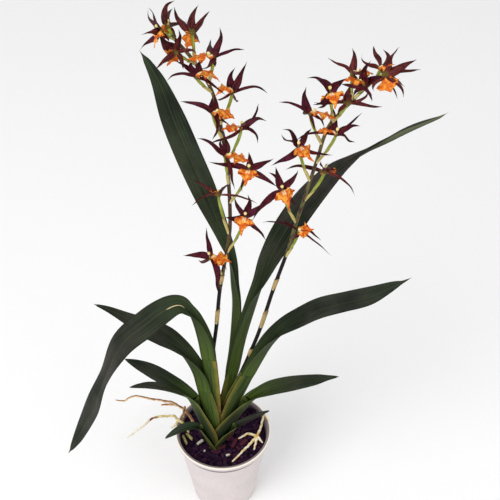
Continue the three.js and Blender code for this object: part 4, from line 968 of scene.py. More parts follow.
def spike(side, rng):
    """A flower spike: its stem with all its stalks, and the bracts as a piece of their own."""
    body = Piece(f"spike_{side}_stem", "stem", f"spike_{side}")
    papers = Piece(f"spike_{side}_bracts", "bract", f"spike_{side}")
    path = stem(side, body)
    for node, length in BRACTS[side]:
        half = length / run(path)[-1] / 2
        part = read_along(np.linspace(node - half, node + half, 12), shares(path), path)
        opening = np.array([rng.uniform(-1, 1), -0.6, 0.1])
        sleeve(part, stem_radius(node) + 0.3, opening, papers, flare=0.35, slant=0.3, pale=0)
    for name in BLOOMS:
        if side in name:
            branch = stalk(name, side, body)
            steps = np.linspace(0.02, rng.uniform(0.42, 0.58), 8)
            part = read_along(steps, shares(branch), branch)
            outwards = (part[0] - branch[0]) * np.array([1, 1, 0])
            opening = outwards + np.array([0.2, -0.6, -0.5])
            sleeve(part, STALK_RADIUS + 0.6, opening, papers, flare=0.3, slant=0.7, pale=1)
    return body, papers


# Blooms

# A lip's ragged edge and its ruffle as waves: height, pitch, and how far its two edges differ.
RAGGED = ((0.09, 24, 2), (0.05, 43, 4))
RUFFLE = ((2.0, 21, 2.5), (0.9, 37, -1))


def outline(share):
    """A tepal's half width as a share: s to the 0.7 times the square of 1-s, one at its peak."""
    peak = 0.28
    return (share / peak) ** 0.7 * ((1 - share) / (1 - peak)) ** 2


def reach(heart, mark, offset, length):
    """Where a step offset from a heart ends: on its line of sight, nearer or farther by its
    lean times what is left of its length."""
    across, rise, lean = offset
    flat = EYE + sight(mark[0] + across, mark[1] - rise) * np.dot(heart - EYE, AXIS)
    spare = np.sqrt(max(length**2 - np.sum((flat - heart) ** 2), LEAST_SPARE**2))
    return flat + unit(EYE - heart) * spare * lean


def bloom_plan(facts):
    """A bloom's heart, the way it looks, the way its lip's front looks, its tepals' shares of
    the usual width with their curves, the lip's curve, and the column's way."""
    mark = facts["heart"]
    heart = seen(*mark)
    toward = unit(EYE - heart)
    up = unit(np.cross(toward, ACROSS))
    view = np.array([ACROSS, up, toward])
    step = np.dot(heart - EYE, AXIS) / EYE_FOCAL
    curves = []
    for across, rise, lean, bow, wide in facts["tepals"]:
        tip = reach(heart, mark, (across, rise, lean), TEPAL_LENGTH)
        left = (up * across - ACROSS * rise) / np.hypot(across, rise)
        curves.append((wide, (heart, (heart + tip) / 2 + left * 2 * bow * step, tip)))
    facing = unit(facts["face"] @ view)
    front = unit(facts.get("front", facts["face"]) @ view)
    tip = reach(heart, mark, facts["lip"], LIP_LENGTH)
    pull = (heart + tip) / 2 + front * facts.get("arch", LIP_ARCH)
    column_way = unit(front * 0.8 + unit(tip - heart) * facts.get("follow", COLUMN_FOLLOW))
    return heart, facing, front, curves, (heart + front * LIP_STANDOFF, pull, tip), column_way


def tepal(curve, wide, facing, rng, piece):
    """A tepal: a narrow blade, channelled along its middle, that tapers to a long tip. It
    sways by a sine of its length and by s^2 (1-s), its end hooks with the square of its share
    and it twists about itself."""
    share = np.linspace(0.03, 1, TEPAL_STEPS)
    path = bent(*curve, share)
    along, side, face = axes(path, facing + 0.03 * unit(curve[2] - curve[0])[::-1])
    sway = np.sin(2 * np.pi * share)
    late = 27 / 4 * share**2 * (1 - share)
    path = path + face * (rng.uniform(-1.2, 1.2) * sway + rng.uniform(-2.5, 1.5) * late)[:, None]
    path = path + side * (rng.uniform(-0.7, 0.7) * sway + rng.uniform(-2.2, 2.2) * late)[:, None]
    hook = ease(share, 0.6, 1.0) ** 2
    path = path + (side * rng.uniform(-2.5, 2.5) + face * rng.uniform(-3, 3)) * hook[:, None]
    twist = (rng.uniform(-0.5, 0.5) * share**1.5)[:, None]
    twisted_side = side * np.cos(twist) + face * np.sin(twist)
    twisted_face = face * np.cos(twist) - side * np.sin(twist)
    leaf_axes = (along, twisted_side, twisted_face)
    half = wide * TEPAL_HALF_WIDTH * rng.uniform(0.9, 1.1) * outline(share)
    half = half + 0.15 + 0.65 * ease(1 - share, 0.0, 0.2)
    fold = np.radians(rng.uniform(8, 34) * (1 - 0.4 * share))
    across, skin = section(TEPAL_AROUND)
    ripple = np.sin(15 * share[:, None] + rng.uniform(0, 6)) * np.minimum(1, half[:, None])
    lift = 0.25 * ripple * across**2
    grid = leaf_skin(path, leaf_axes, half, fold, TEPAL_THICKNESS, lift, TEPAL_AROUND)
    tone = (skin < 0) * 1.0, np.abs(across), rng.uniform(0, 1)
    piece.add(grid, leaf_grain(path, across, half, shares(path)[:, None]), tone)


def edge_waves(waves, down, across, starts):
    """Waves down a lip that run differently at its two edges, added up."""
    total = 0
    for (height, pitch, apart), start in zip(waves, starts):
        total = total + height * np.sin(pitch * down + start + apart * np.sign(across))
    return total


def lip(curve, facing, shape, rng, piece):
    """A lip: a bell's curve of shoulders, then a narrow tongue with a hooked point. Its edges
    are ragged by two sine waves, ruffled by two more and curled back with the square of the
    way across, and two ridges of callus stand near its foot."""
    share = np.linspace(0.015, 1, LIP_STEPS)
    path = bent(*curve, share)
    leaf_axes = axes(path, facing)
    along, side, _ = leaf_axes
    path = path + side * (rng.uniform(-2.5, 2.5) * ease(share, 0.55, 1.0) ** 2)[:, None]
    wide_share, widest = shape
    shoulders = 0.75 * bell(share, widest, 0.23)
    tongue = 0.35 * (1 - share) ** 0.7 * ease(share, -0.1, 0.15)
    half = wide_share * LIP_HALF_WIDTH * (shoulders + tongue) + 0.25
    fold = np.radians(14 - 10 * share)
    across, skin = section(LIP_AROUND)
    away = np.abs(across)
    wide = across * half[:, None]
    down = share[:, None]
    starts = rng.uniform(0, 6, 4)
    ragged = 1 + edge_waves(RAGGED, down, across, starts[:2]) * away
    spread = wide * np.cos(fold)[:, None] * ragged
    ruffle = edge_waves(RUFFLE, down, across, starts[2:]) * away**2.2
    ruffle = ruffle * np.minimum(1, half[:, None] / 5) * (1.15 - 0.6 * down)
    curl = -0.3 * half[:, None] * across**2
    ridge = bell(np.abs(wide), 1.1, 0.6) * bell(down, 0.13, 0.09)
    crease = -0.5 * bell(wide, 0, 0.7) * (1 - down)
    pleat = 0.35 * np.sin(wide * 1.6 + starts[0]) * away * (1 - down)
    lift = ruffle + curl + crease + pleat + 1.1 * ridge * (skin > 0)
    grid = leaf_skin(path, leaf_axes, half, fold, LIP_THICKNESS, lift, LIP_AROUND, spread)
    shoulder = 2.4 * away**1.6 * (1 - down) ** 2 * ease(down, 0.0, 0.12)
    notch = 0.5 * np.sin(across * 11 + starts[1]) * away**2 * (1 - down)
    grid = grid - along[:, None] * (shoulder + notch)[..., None]
    callus = np.clip(ridge * 1.4, 0, 1) * (skin > 0)
    # How deep in the ruffle's folds each point lies, read by the finish as painted shade in the
    # hollows and a painted highlight on the raised folds.
    fold_shade = np.clip(0.5 - ruffle * 0.3, 0, 1)
    grain = leaf_grain(path, across, half, shares(path)[:, None])
    piece.add(grid, grain, (fold_shade + (skin < 0) * 2, away, callus))


def column(heart, way, facing, piece):
    """A column: a tube that bends forward with the square of its share and swells to a round
    cap by a bell's curve."""
    share = np.linspace(0, 1, COLUMN_STEPS)
    path = heart + way * (COLUMN_LENGTH * share)[:, None] + facing * (1.2 * share**2)[:, None]
    club = 1.15 + 0.15 * np.cos(2 * np.pi * share) + 0.4 * bell(share, 0.8, 0.16)
    radius = club * round_ends(share, 0.505, 8, 0.01)
    grid = tube(path, radius, COLUMN_AROUND, facing + 0.05 * RISE, ribs=0.06, rib_count=2)
    front = 0.5 + 0.5 * np.sin(turns(COLUMN_AROUND))
    piece.add(grid, tube_grain(COLUMN_AROUND, 8, share * COLUMN_LENGTH, share), (front, 0, 0))


def bloom(name, rng):
    """A bloom's pieces: five tepals on a ball for its heart, the lip, and the column."""
    heart, facing, front, curves, lip_curve, column_way = bloom_plan(BLOOMS[name])
    tepals = Piece(name + "_tepals", "bloom", name)
    for wide, curve in curves:
        tepal(curve, wide, facing, rng, tepals)
    tepals.add(heart + HEART_RADIUS * ball(9, 14), tone=(1, 0, 0.5))
    lips = Piece(name + "_lip", "lip", name)
    lip(lip_curve, front, BLOOMS[name].get("lip_shape", LIP_SHAPE), rng, lips)
    columns = Piece(name + "_column", "column", name)
    column(heart, column_way, front, columns)
    return tepals, lips, columns


# Pot and soil

def wall_radius(height):
    """The pot's outer radius under its band: a straight cone."""
    slope = (POT_RIM_RADIUS - POT_BAND_STEP - POT_BASE_RADIUS) / POT_HEIGHT
    return POT_BASE_RADIUS + slope * height


def soil_radius(height):
    """The soil's radius: the pot's inner wall less a gap."""
    return wall_radius(height) - POT_WALL - GAP


def fine_profile(corners, step):
    """A profile's corners with points added so that none are farther apart than step."""
    parts = []
    for start, end in zip(corners[:-1], corners[1:]):
        count = max(1, int(np.ceil(np.hypot(end[0] - start[0], end[1] - start[1]) / step)))
        parts.append(np.linspace(start, end, count, endpoint=False))
    return np.vstack(parts + [np.array(corners[-1:], float)])


def pot():
    """The pot: one profile from the middle of its base, up the wall, over the round rim and
    down inside."""
    band = POT_HEIGHT - POT_BAND_HEIGHT
    rim_in = POT_RIM_RADIUS - POT_BAND_STEP - POT_WALL
    corners = [
        (0.5, 0), (POT_BASE_RADIUS - 1.2, 0), (POT_BASE_RADIUS - 0.5, 0.25),
        (wall_radius(1.2), 1.2), (wall_radius(band - 0.3), band - 0.3),
        (wall_radius(band) + 0.3, band),
        (POT_RIM_RADIUS - 0.9, band + 0.3), (POT_RIM_RADIUS - 0.45, band + 0.8),
        (POT_RIM_RADIUS - 0.05, POT_HEIGHT - 1.3), (POT_RIM_RADIUS - 0.25, POT_HEIGHT - 0.5),
        (POT_RIM_RADIUS - 0.8, POT_HEIGHT), (rim_in + 0.6, POT_HEIGHT), (rim_in, POT_HEIGHT - 0.5),
        (wall_radius(POT_FLOOR) - POT_WALL, POT_FLOOR), (0.5, POT_FLOOR),
    ]
    piece = Piece("pot_shell", "pot", "pot")
    piece.add(turned(fine_profile(corners, 3), POT_AROUND))
    return piece


def cut_drains(item):
    """Cuts the drain holes out of the pot with round plugs, and keeps the cut mesh."""
    plugs = Piece("drain_plugs", "pot")
    plug = turned([(DRAIN_RADIUS, -3), (DRAIN_RADIUS, 5)], 32)
    for angle in turns(DRAIN_COUNT):
        plugs.add(plug + DRAIN_CIRCLE * np.array([np.cos(angle), np.sin(angle), 0]))
    cutter = plugs.make(item.data.materials[0])
    cut = item.modifiers.new("drains", "BOOLEAN")
    cut.object = cutter
    cut.operation = "DIFFERENCE"
    cut.solver = "EXACT"
    ready = item.evaluated_get(bpy.context.evaluated_depsgraph_get())
    made = bpy.data.meshes.new_from_object(ready)
    item.modifiers.clear()
    item.data = made
    bpy.data.objects.remove(cutter)
    made.set_sharp_from_angle(angle=np.radians(50))


def crumble(x, y, rng):
    """The soil's relief: many sine ripples, each with its own way, pitch and start, and lower
    where the pitch is finer."""
    height = np.zeros_like(x)
    for _ in range(SOIL_RIPPLES):
        pitch = rng.uniform(0.15, 0.9)
        angle = rng.uniform(0, 2 * np.pi)
        way = x * np.cos(angle) + y * np.sin(angle)
        height = height + 0.088 * np.sin(way * pitch + rng.uniform(0, 6)) / pitch**0.6
    return height


def bank(x, y):
    """How far the soil is banked up: behind the plant, and against the wall at both sides."""
    behind = BANK_BEHIND * ease(y + 0.45 * np.abs(x), 25, 60)
    beside = BANK_BESIDE * ease(np.hypot(x, y), 49, 57) * ease(np.abs(x), 15, 45)
    return np.maximum(behind, beside)


def soil(rng):
    """The soil: one turned body whose top is lifted by the crumbs' relief and the bank."""
    corners = [
        (0.5, POT_FLOOR + GAP), (soil_radius(POT_FLOOR) - GAP, POT_FLOOR + GAP),
        (soil_radius(SOIL_TOP - 2), SOIL_TOP - 2), (soil_radius(SOIL_TOP), SOIL_TOP - 0.8),
    ]
    outer = fine_profile(corners, 12)
    top = np.linspace((soil_radius(SOIL_TOP) - 0.8, SOIL_TOP), (0.5, SOIL_TOP), SOIL_RINGS)
    grid = turned(np.vstack([outer, top]), POT_AROUND)
    x, y, _ = np.moveaxis(grid[len(outer):], -1, 0)
    grid[len(outer):, :, 2] += crumble(x, y, rng) + bank(x, y)
    piece = Piece("soil_bed", "soil", "soil")
    piece.add(grid)
    return piece


def pebble(rings, around, square):
    """A rounded block: a ball whose sines and cosines are raised to a power below one."""
    height = np.linspace(-np.pi / 2, np.pi / 2, rings + 2)[1:-1, None]
    radius = power(np.cos(height), square)
    x = radius * power(np.cos(turns(around)), square)
    y = radius * power(np.sin(turns(around)), square)
    return gathered(x, y, power(np.sin(height), square))


def turn_about(axis, angle):
    """A turn about X, Y or Z, told by its number, as a matrix."""
    first = (axis + 1) % 3
    second = (axis + 2) % 3
    matrix = np.eye(3)
    matrix[[first, second], [first, second]] = np.cos(angle)
    matrix[second, first] = np.sin(angle)
    matrix[first, second] = -np.sin(angle)
    return matrix


def chip(centre, size, spin, tilt, lean, tone, rng, piece):
    """One bark chip: a rounded block, roughened by slow waves of its own, then tilted about X,
    leaned about Y and spun about Z."""
    block = pebble(5, 10, 0.45)
    rough = 1 + 0.16 * np.sin(block @ rng.uniform(-3, 3, (3, 3)) + rng.uniform(0, 6, 3))
    pose = turn_about(2, spin) @ turn_about(1, lean) @ turn_about(0, tilt)
    grid = (block * rough * np.array(size) / 2) @ pose.T + centre
    piece.add(grid, np.moveaxis(block * np.array(size), -1, 0), tone)


def chips(rng):
    """Bark chips strewn over the soil, with a few red ones and pale crumbs. They sit lower
    near the shoot."""
    piece = Piece("soil_bark", "soil", "soil")
    for _ in range(CHIP_COUNT):
        away = CHIP_CIRCLE * np.sqrt(rng.uniform(0, 1))
        angle = rng.uniform(0, 2 * np.pi)
        spot = np.array([away * np.cos(angle), away * np.sin(angle), SOIL_TOP])
        size = rng.uniform(2, 9), rng.uniform(2, 5.5), rng.uniform(1.2, 3)
        pose = rng.uniform(0, np.pi), rng.normal(0, 0.3), rng.normal(0, 0.3)
        near = np.hypot(*(spot - FOOT)[:2]) < 12
        spot[2] += rng.uniform(-1.6, 1.0) - 1.5 * near + bank(spot[0], spot[1])
        red = 0.8 * (rng.uniform(0, 1) < 0.06)
        pale = 1.0 * (rng.uniform(0, 1) < 0.01) * (max(size) < 5)
        chip(spot, size, *pose, (rng.uniform(0, 0.85), red, pale), rng, piece)
    return piece


def marked_chips(rng):
    """The chips that the picture shows one by one, each where its line of sight meets the soil."""
    piece = Piece("soil_marked_chips", "soil", "soil")
    for mark, size, spin, tone in MARKED_CHIPS:
        line = sight(*mark)
        spot = EYE + line * (SOIL_TOP + CHIP_TALL - EYE[2]) / line[2]
        chip(spot, size, np.radians(spin), 0.1, -0.1, tone, rng, piece)
    return piece


# Roots

def root_tubes(name, rng):
    """A root: a tube along the spline of each strand, pushed aside by two sine waves, that
    thins to a round tip."""
    piece = Piece(name + "_strands", "root", name)
    for number, marks in enumerate(ROOTS[name]):
        path = smooth_path(marked(marks), STEPS_PER_POINT * len(marks))
        way = run(path)
        share = shares(path)
        for pitch in (0.35, 0.9):
            push = rng.uniform(-1, 1, 3) * np.array([0.35, 0.35, 0.105])
            wave = np.sin(way * pitch + rng.uniform(0, 6)) * np.sin(np.pi * share)
            path = path + push * wave[:, None]
        radius = ROOT_RADIUS * (1.3 - 0.6 * share) * (1 + 0.08 * np.sin(way * 0.8 + number))
        radius = radius * round_ends(share, 0.503, 14, 0.02)
        grid = tube(path, radius, ROOT_AROUND, np.array([0.1, 0.2, 1.0]))
        under = 0.5 - 0.5 * np.sin(turns(ROOT_AROUND))
        grain = tube_grain(ROOT_AROUND, 8, way, share)
        piece.add(grid, grain, (under, ROOT_KINDS[name], share[:, None]))
    return piece


# Finishes

def paint(red, green, blue):
    """A screen colour, 0 to 255 a part, as the light it stands for: the screen's curve undone."""
    share = np.array([red, green, blue]) / 255
    light = np.where(share <= 0.04045, share / 12.92, ((share + 0.055) / 1.055) ** 2.4)
    return (*light.tolist(), 1.0)


class Value:
    """A number, colour or direction on its way through a finish."""

    def __init__(self, finish, socket):
        self.finish = finish
        self.socket = socket

    def math(self, operation, *numbers):
        """One step of arithmetic on numbers."""
        sockets = dict(enumerate(numbers))
        return self.finish.node("Math", {"operation": operation}, sockets, "Value")

    def __add__(self, other):
        return self.math("ADD", self, other)

    def __sub__(self, other):
        return self.math("SUBTRACT", self, other)

    def __rsub__(self, other):
        return self.math("SUBTRACT", other, self)

    def __mul__(self, other):
        return self.math("MULTIPLY", self, other)

    def __pow__(self, other):
        return self.math("POWER", self, other)

    __radd__ = __add__
    __rmul__ = __mul__

    def __abs__(self):
        return self.math("ABSOLUTE", self)

    def sine(self):
        """The sine of a number."""
        return self.math("SINE", self)

    def ease(self, low, high):
        """A share from 0 to 1 between two limits, with soft ends."""
        sockets = {"Value": self, "From Min": low, "From Max": high}
        settings = {"interpolation_type": "SMOOTHSTEP"}
        return self.finish.node("MapRange", settings, sockets, "Result")

    def fade(self, low, high):
        """A share from 1 to 0 between two limits, with soft ends."""
        return 1 - self.ease(low, high)

    def mix(self, first, second):
        """One colour turned into another by this share."""
        return self.finish.node("Mix", {"data_type": "RGBA"}, {0: self, 6: first, 7: second}, 2)

    def blend(self, low, high, first, second):
        """One colour turned into another between two limits."""
        return self.ease(low, high).mix(first, second)


class Finish:
    """A finish being made: its material and the nodes that vary it."""

    def __init__(self, name, shine):
        self.material = bpy.data.materials.new(name)
        self.material.use_nodes = True
        self.tree = self.material.node_tree
        self.shader = self.tree.nodes["Principled BSDF"].inputs
        self.feed(self.shader["Specular IOR Level"], shine)
        self.place = self.node("TexCoord", {}, {}, "Object")

    def feed(self, socket, value):
        """Links a value to a socket, or sets the socket to a number or a screen colour."""
        if isinstance(value, Value):
            self.tree.links.new(value.socket, socket)
        else:
            socket.default_value = paint(*value) if isinstance(value, tuple) else value

    def node(self, kind, settings, sockets, output):
        """Any node: its kind, its settings, what its sockets hold or take, and the output used."""
        item = self.tree.nodes.new("ShaderNode" + kind)
        for name, value in settings.items():
            setattr(item, name, value)
        for key, value in sockets.items():
            self.feed(item.inputs[key], value)
        return Value(self, item.outputs[output])

    def parts(self, vector):
        """The three numbers of a direction."""
        split = self.node("SeparateXYZ", {}, {0: vector}, 0).socket.node
        return [Value(self, output) for output in split.outputs]

    def read(self, name):
        """The three numbers of a piece's own grain or tone."""
        return self.parts(self.node("Attribute", {"attribute_name": name}, {}, "Vector"))

    def cloud(self, scale, detail=3, numbers=None):
        """Soft noise between about 0.25 and 0.75, over the piece's place or over numbers, as
        fine as its scale."""
        vector = self.place
        if numbers:
            vector = self.node("CombineXYZ", {}, dict(enumerate(numbers)), 0)
        return self.node("TexNoise", {}, {"Vector": vector, "Scale": scale, "Detail": detail}, 0)

    def cells(self, scale):
        """Distance to the nearest of many strewn points."""
        return self.node("TexVoronoi", {}, {"Vector": self.place, "Scale": scale}, "Distance")

    def coat(self, base, layers, roughness, relief, height):
        """The material: colours laid over a base, each by its share, a roughness, and a relief
        with its height in millimetres."""
        for share, colour in layers:
            base = share.mix(base, colour)
        self.feed(self.shader["Base Color"], base)
        self.feed(self.shader["Roughness"], roughness)
        sockets = {"Strength": 1, "Distance": height * MM, "Height": relief}
        self.feed(self.shader["Normal"], self.node("Bump", {}, sockets, "Normal"))
        return self.material


def leaf_finish():
    """Leaf: dark green with fine veins along it, a pale rib, a brown tinge, a young foot, painted
    light that makes one half lighter than the other, and dark edges. A light below nought marks a
    painted highlight along the rib."""
    finish = Finish("leaf_green", shine=0.1)
    across, along, away = finish.read("grain")
    light, brown, young = finish.read("tone")
    streaks = finish.cloud(1.3, 2, (across, along * 0.012, 0))
    blotches = finish.cloud(22)
    veins = (across * 4.2).sine()
    rib = abs(across).fade(0.25, 0.9)
    layers = [
        (streaks.ease(0.5, 0.66) * 0.4, (56, 74, 44)),
        (brown * blotches.ease(0.25, 0.6), streaks.blend(0.3, 0.7, (46, 40, 42), (70, 62, 60))),
        (young * 0.95, streaks.blend(0.35, 0.65, (46, 66, 20), (80, 100, 35))),
        (rib * 0.25, (92, 100, 64)),
        # A painted highlight along the rib, where the light is below nought.
        (rib * (light * -1).ease(0.5, 2.0), (226, 208, 162)),
        # Painted light: the lit half, and the tip's lit half, in a lighter green; the under side
        # is a little paler too.
        (light * 0.4, young.mix((98, 104, 76), (88, 108, 36))),
        (away.ease(0.88, 1.0) * 0.6, (24, 28, 18)),
    ]
    base = blotches.blend(0.35, 0.65, (18, 25, 18), (37, 51, 33))
    relief = veins * 0.3 + streaks * 1.2 + blotches * 0.6
    return finish.coat(base, layers, 0.42 + streaks * 0.16, relief, 0.25)


def sheath_finish():
    """Sheath: green, with painted shade that darkens the outer ones away from their edges, golden
    and brown-specked near some edges, and a thin pale edge."""
    finish = Finish("sheath_green", shine=0.12)
    across, along, gold = finish.read("grain")
    to_edge, dark, height = finish.read("tone")
    streaks = finish.cloud(1.2, 2, (across, along * 0.015, 0))
    blotches = finish.cloud(60)
    specks = finish.cloud(330, 2)
    # Painted shade: the outer sheaths darken away from their edges, less so near the joint.
    shaded = dark * to_edge.ease(0.3, 4.0) * (1 - height.ease(0.7, 1.0) * 0.6) * 0.9
    golden = blotches.blend(0.35, 0.65, (104, 100, 30), (126, 116, 44))
    spotted = specks.ease(0.48, 0.56) * to_edge.fade(1.0, 4.5) * height.fade(0.5, 0.8)
    layers = [
        (shaded, streaks.blend(0.35, 0.68, (20, 28, 20), (38, 46, 30))),
        (to_edge.fade(1.0, 7.0) * gold, golden),
        (spotted * gold.ease(0.1, 0.5) * 0.8, (104, 54, 36)),
        (to_edge.fade(0.1, 0.6) * 0.45, (156, 144, 98)),
    ]
    base = streaks.blend(0.35, 0.65, (42, 62, 20), (74, 92, 36))
    return finish.coat(base, layers, 0.45 + streaks * 0.15, streaks + blotches, 0.3)


def spike_finish():
    """Stem and stalks: purple-black below, olive brown above, maroon on the left stem, and
    yellow-green stalks."""
    finish = Finish("spike_skin", shine=0.15)
    around, along, share = finish.read("grain")
    stalk_part, redder, _ = finish.read("tone")
    specks = finish.cloud(900, 2)
    bands = finish.cloud(1, 2, (around * 0.2, along * 0.06, 0))
    olive = bands.blend(0.42, 0.58, (60, 42, 34), (98, 94, 54))
    maroon = bands.blend(0.42, 0.58, (42, 22, 20), (74, 54, 36))
    upper = (redder * share.ease(0.45, 0.6)).mix(olive, maroon)
    upper = (specks.ease(0.5, 0.68) * 0.5).mix(upper, (112, 88, 58))
    fresh = bands.blend(0.35, 0.65, (122, 134, 42), (164, 170, 76))
    fresh = (share.ease(0.82, 1.0) * 0.5).mix(fresh, (96, 120, 40))
    layers = [
        ((share + bands * 0.2 + redder * 0.1).ease(0.64, 0.72), upper),
        (share.ease(0.78, 0.95), specks.blend(0.4, 0.65, (78, 62, 34), (122, 112, 58))),
        (stalk_part, fresh),
    ]
    base = specks.blend(0.4, 0.65, (9, 7, 8), (32, 23, 22))
    return finish.coat(base, layers, 0.45 + specks * 0.15, specks, 0.1)


def bract_finish():
    """Bract: dry papery beige with brown veins, a darker tip and a pale foot."""
    finish = Finish("bract_paper", shine=0.15)
    around, along, _ = finish.read("grain")
    tip, inner, pale = finish.read("tone")
    fibres = finish.cloud(1.2, 2, (around * 2.2, along * 0.12, 0))
    layers = [
        (pale * 0.6, (194, 184, 112)),
        (tip.ease(0.65, 1.0) * 0.7, (92, 64, 44)),
        (tip.fade(0.02, 0.14), (218, 204, 166)),
        (inner * 0.3, (148, 124, 84)),
    ]
    base = fibres.blend(0.4, 0.65, (188, 168, 112), (146, 112, 74))
    return finish.coat(base, layers, 0.6 + fibres * 0.15, fibres, 0.2)


def tepal_finish():
    """Tepal: deep maroon with darker veins, a reddish-brown back and a green foot."""
    finish = Finish("tepal_maroon", shine=0.1)
    across, along, share = finish.read("grain")
    under, edge, shade = finish.read("tone")
    veins = finish.cloud(1.2, 2, (across * 2.4, along * 0.05, shade * 9))
    spots = finish.cloud(260, 2)
    patches = finish.cloud(110)
    layers = [
        (patches.ease(0.5, 0.64) * 0.4, (88, 26, 62)),
        (under, veins.blend(0.35, 0.62, (44, 9, 10), (112, 44, 42))),
        (spots.ease(0.5, 0.64) * 0.6, (22, 3, 6)),
        (edge.ease(0.7, 1.0) * 0.5, (32, 10, 12)),
        (share.fade(0.03, 0.13) * (0.1 + under * 0.45), (112, 108, 46)),
        (share.ease(0.4, 0.9) * 0.7, (28, 12, 11)),
    ]
    base = veins.blend(0.35, 0.62, (26, 3, 6), (96, 27, 36))
    return finish.coat(base, layers, 0.4 + veins * 0.2, veins + spots * 0.5, 0.15)


def lip_finish():
    """Lip: orange, with red veins, red painted shade in its hollows, yellow painted highlight on
    its raised folds, and ivory callus. Its under side has two added to how deep in a fold it lies."""
    finish = Finish("lip_orange", shine=0.12)
    across, along, share = finish.read("grain")
    fold_shade, edge, callus = finish.read("tone")
    under = fold_shade.ease(1.2, 1.8)
    fold_shade = fold_shade - under * 2
    veins = finish.cloud(1.3, 3, (across * 0.9, along * 0.2, 0))
    clouds = finish.cloud(240)
    layers = [
        # Painted highlight on the raised folds, and painted shade in the hollows.
        (fold_shade.fade(0.1, 0.45) * 0.95, (254, 190, 82)),
        (fold_shade.ease(0.55, 0.85) * 0.9, (140, 33, 12)),
        (clouds.ease(0.5, 0.58) * 0.75, (254, 182, 72)),
        (veins.ease(0.55, 0.6) * 0.8, (134, 30, 14)),
        (edge.ease(0.75, 1.0) * clouds.ease(0.35, 0.55) * 0.6, (160, 44, 24)),
        (share.ease(0.75, 1.0) * 0.6, (190, 60, 24)),
        (under * 0.35, (222, 128, 50)),
        (callus, (246, 232, 190)),
    ]
    base = veins.blend(0.4, 0.6, (198, 74, 14), (232, 124, 32))
    return finish.coat(base, layers, 0.45 + veins * 0.15, veins + clouds * 0.7, 0.4)


def column_finish():
    """Column: purple-brown underneath and about its middle, with a pale yellow cap."""
    finish = Finish("column_wax", shine=0.2)
    share = finish.read("grain")[2]
    front = finish.read("tone")[0]
    spots = finish.cloud(700, 2)
    layers = [
        (front.ease(0.4, 0.8) * 0.8, (78, 28, 42)),
        (share.ease(0.6, 0.68), spots.blend(0.45, 0.65, (240, 226, 158), (206, 176, 84))),
    ]
    base = spots.blend(0.4, 0.6, (200, 186, 110), (116, 58, 56))
    return finish.coat(base, layers, 0.35 + spots * 0.15, spots, 0.1)


def soil_finish():
    """Soil: crumbly peat, purple-black with brown crumbs, and darker than the bark chips as
    painted shade in the gaps between them.
    """
    finish = Finish("soil_peat", shine=0.08)
    clouds = finish.cloud(160)
    grit = finish.cloud(900, 4)
    # The bed is darker than the chips: dark peat, and painted shade in the gaps between them.
    base = clouds.blend(0.4, 0.62, (18, 6, 26), (46, 22, 48))
    layers = [(grit.ease(0.58, 0.72) * 0.5, (84, 50, 58))]
    return finish.coat(base, layers, 0.8 + grit * 0.15, finish.cells(420) * 1.2 + grit, 1.2)


def bark_finish():
    """Bark chips: dark fibrous wood, each its own shade, some red and a few bleached."""
    finish = Finish("bark_chips", shine=0.1)
    x, y, z = finish.read("grain")
    shade, red, pale = finish.read("tone")
    fibres = finish.cloud(1.2, 3, (x * 0.15, y * 1.2, z * 1.2))
    white = fibres.blend(0.3, 0.8, (240, 234, 218), (190, 174, 154))
    straw = fibres.blend(0.42, 0.58, (206, 198, 140), (128, 122, 62))
    layers = [
        (red * 0.8, (92, 36, 44)),
        (fibres.ease(0.48, 0.7) * 0.45, (92, 58, 66)),
        (pale, shade.blend(0.9, 1.0, white, straw)),
    ]
    base = shade.mix((24, 9, 34), (72, 40, 68))
    return finish.coat(base, layers, 0.7 + fibres * 0.2, fibres * 2 + finish.cloud(700), 0.6)


def root_finish():
    """Root: woody brown above and cream below, or straw turning ivory with a red-brown patch,
    or white with golden patches where it is fresh."""
    finish = Finish("root_skin", shine=0.15)
    around, along, _ = finish.read("grain")
    under, laid, part = finish.read("tone")
    patches = finish.cloud(1.3, 3, (around * 0.3, along * 0.12, laid * 5))
    grit = finish.cloud(1200, 2)
    brown = patches.blend(0.4, 0.62, (168, 120, 84), (96, 64, 48))
    cream = patches.blend(0.42, 0.62, (240, 214, 172), (214, 158, 112))
    straw = patches.blend(0.42, 0.62, (234, 220, 168), (196, 172, 112))
    ivory = patches.blend(0.42, 0.65, (244, 236, 214), (214, 196, 160))
    straw = part.blend(0.6, 0.72, straw, ivory)
    band = part.ease(0.5, 0.56) * part.fade(0.62, 0.68) * patches.ease(0.35, 0.5)
    fresh = patches.blend(0.45, 0.65, (253, 244, 216), (234, 196, 118))
    layers = [
        (laid.ease(0.2, 0.4), band.mix(straw, (124, 62, 46))),
        (laid.ease(0.7, 0.9), part.fade(0.0, 0.25).mix(fresh, (232, 186, 84))),
    ]
    base = under.blend(0.1, 0.42, brown, cream)
    return finish.coat(base, layers, 0.6 + grit * 0.2, grit + patches * 2, 0.3)


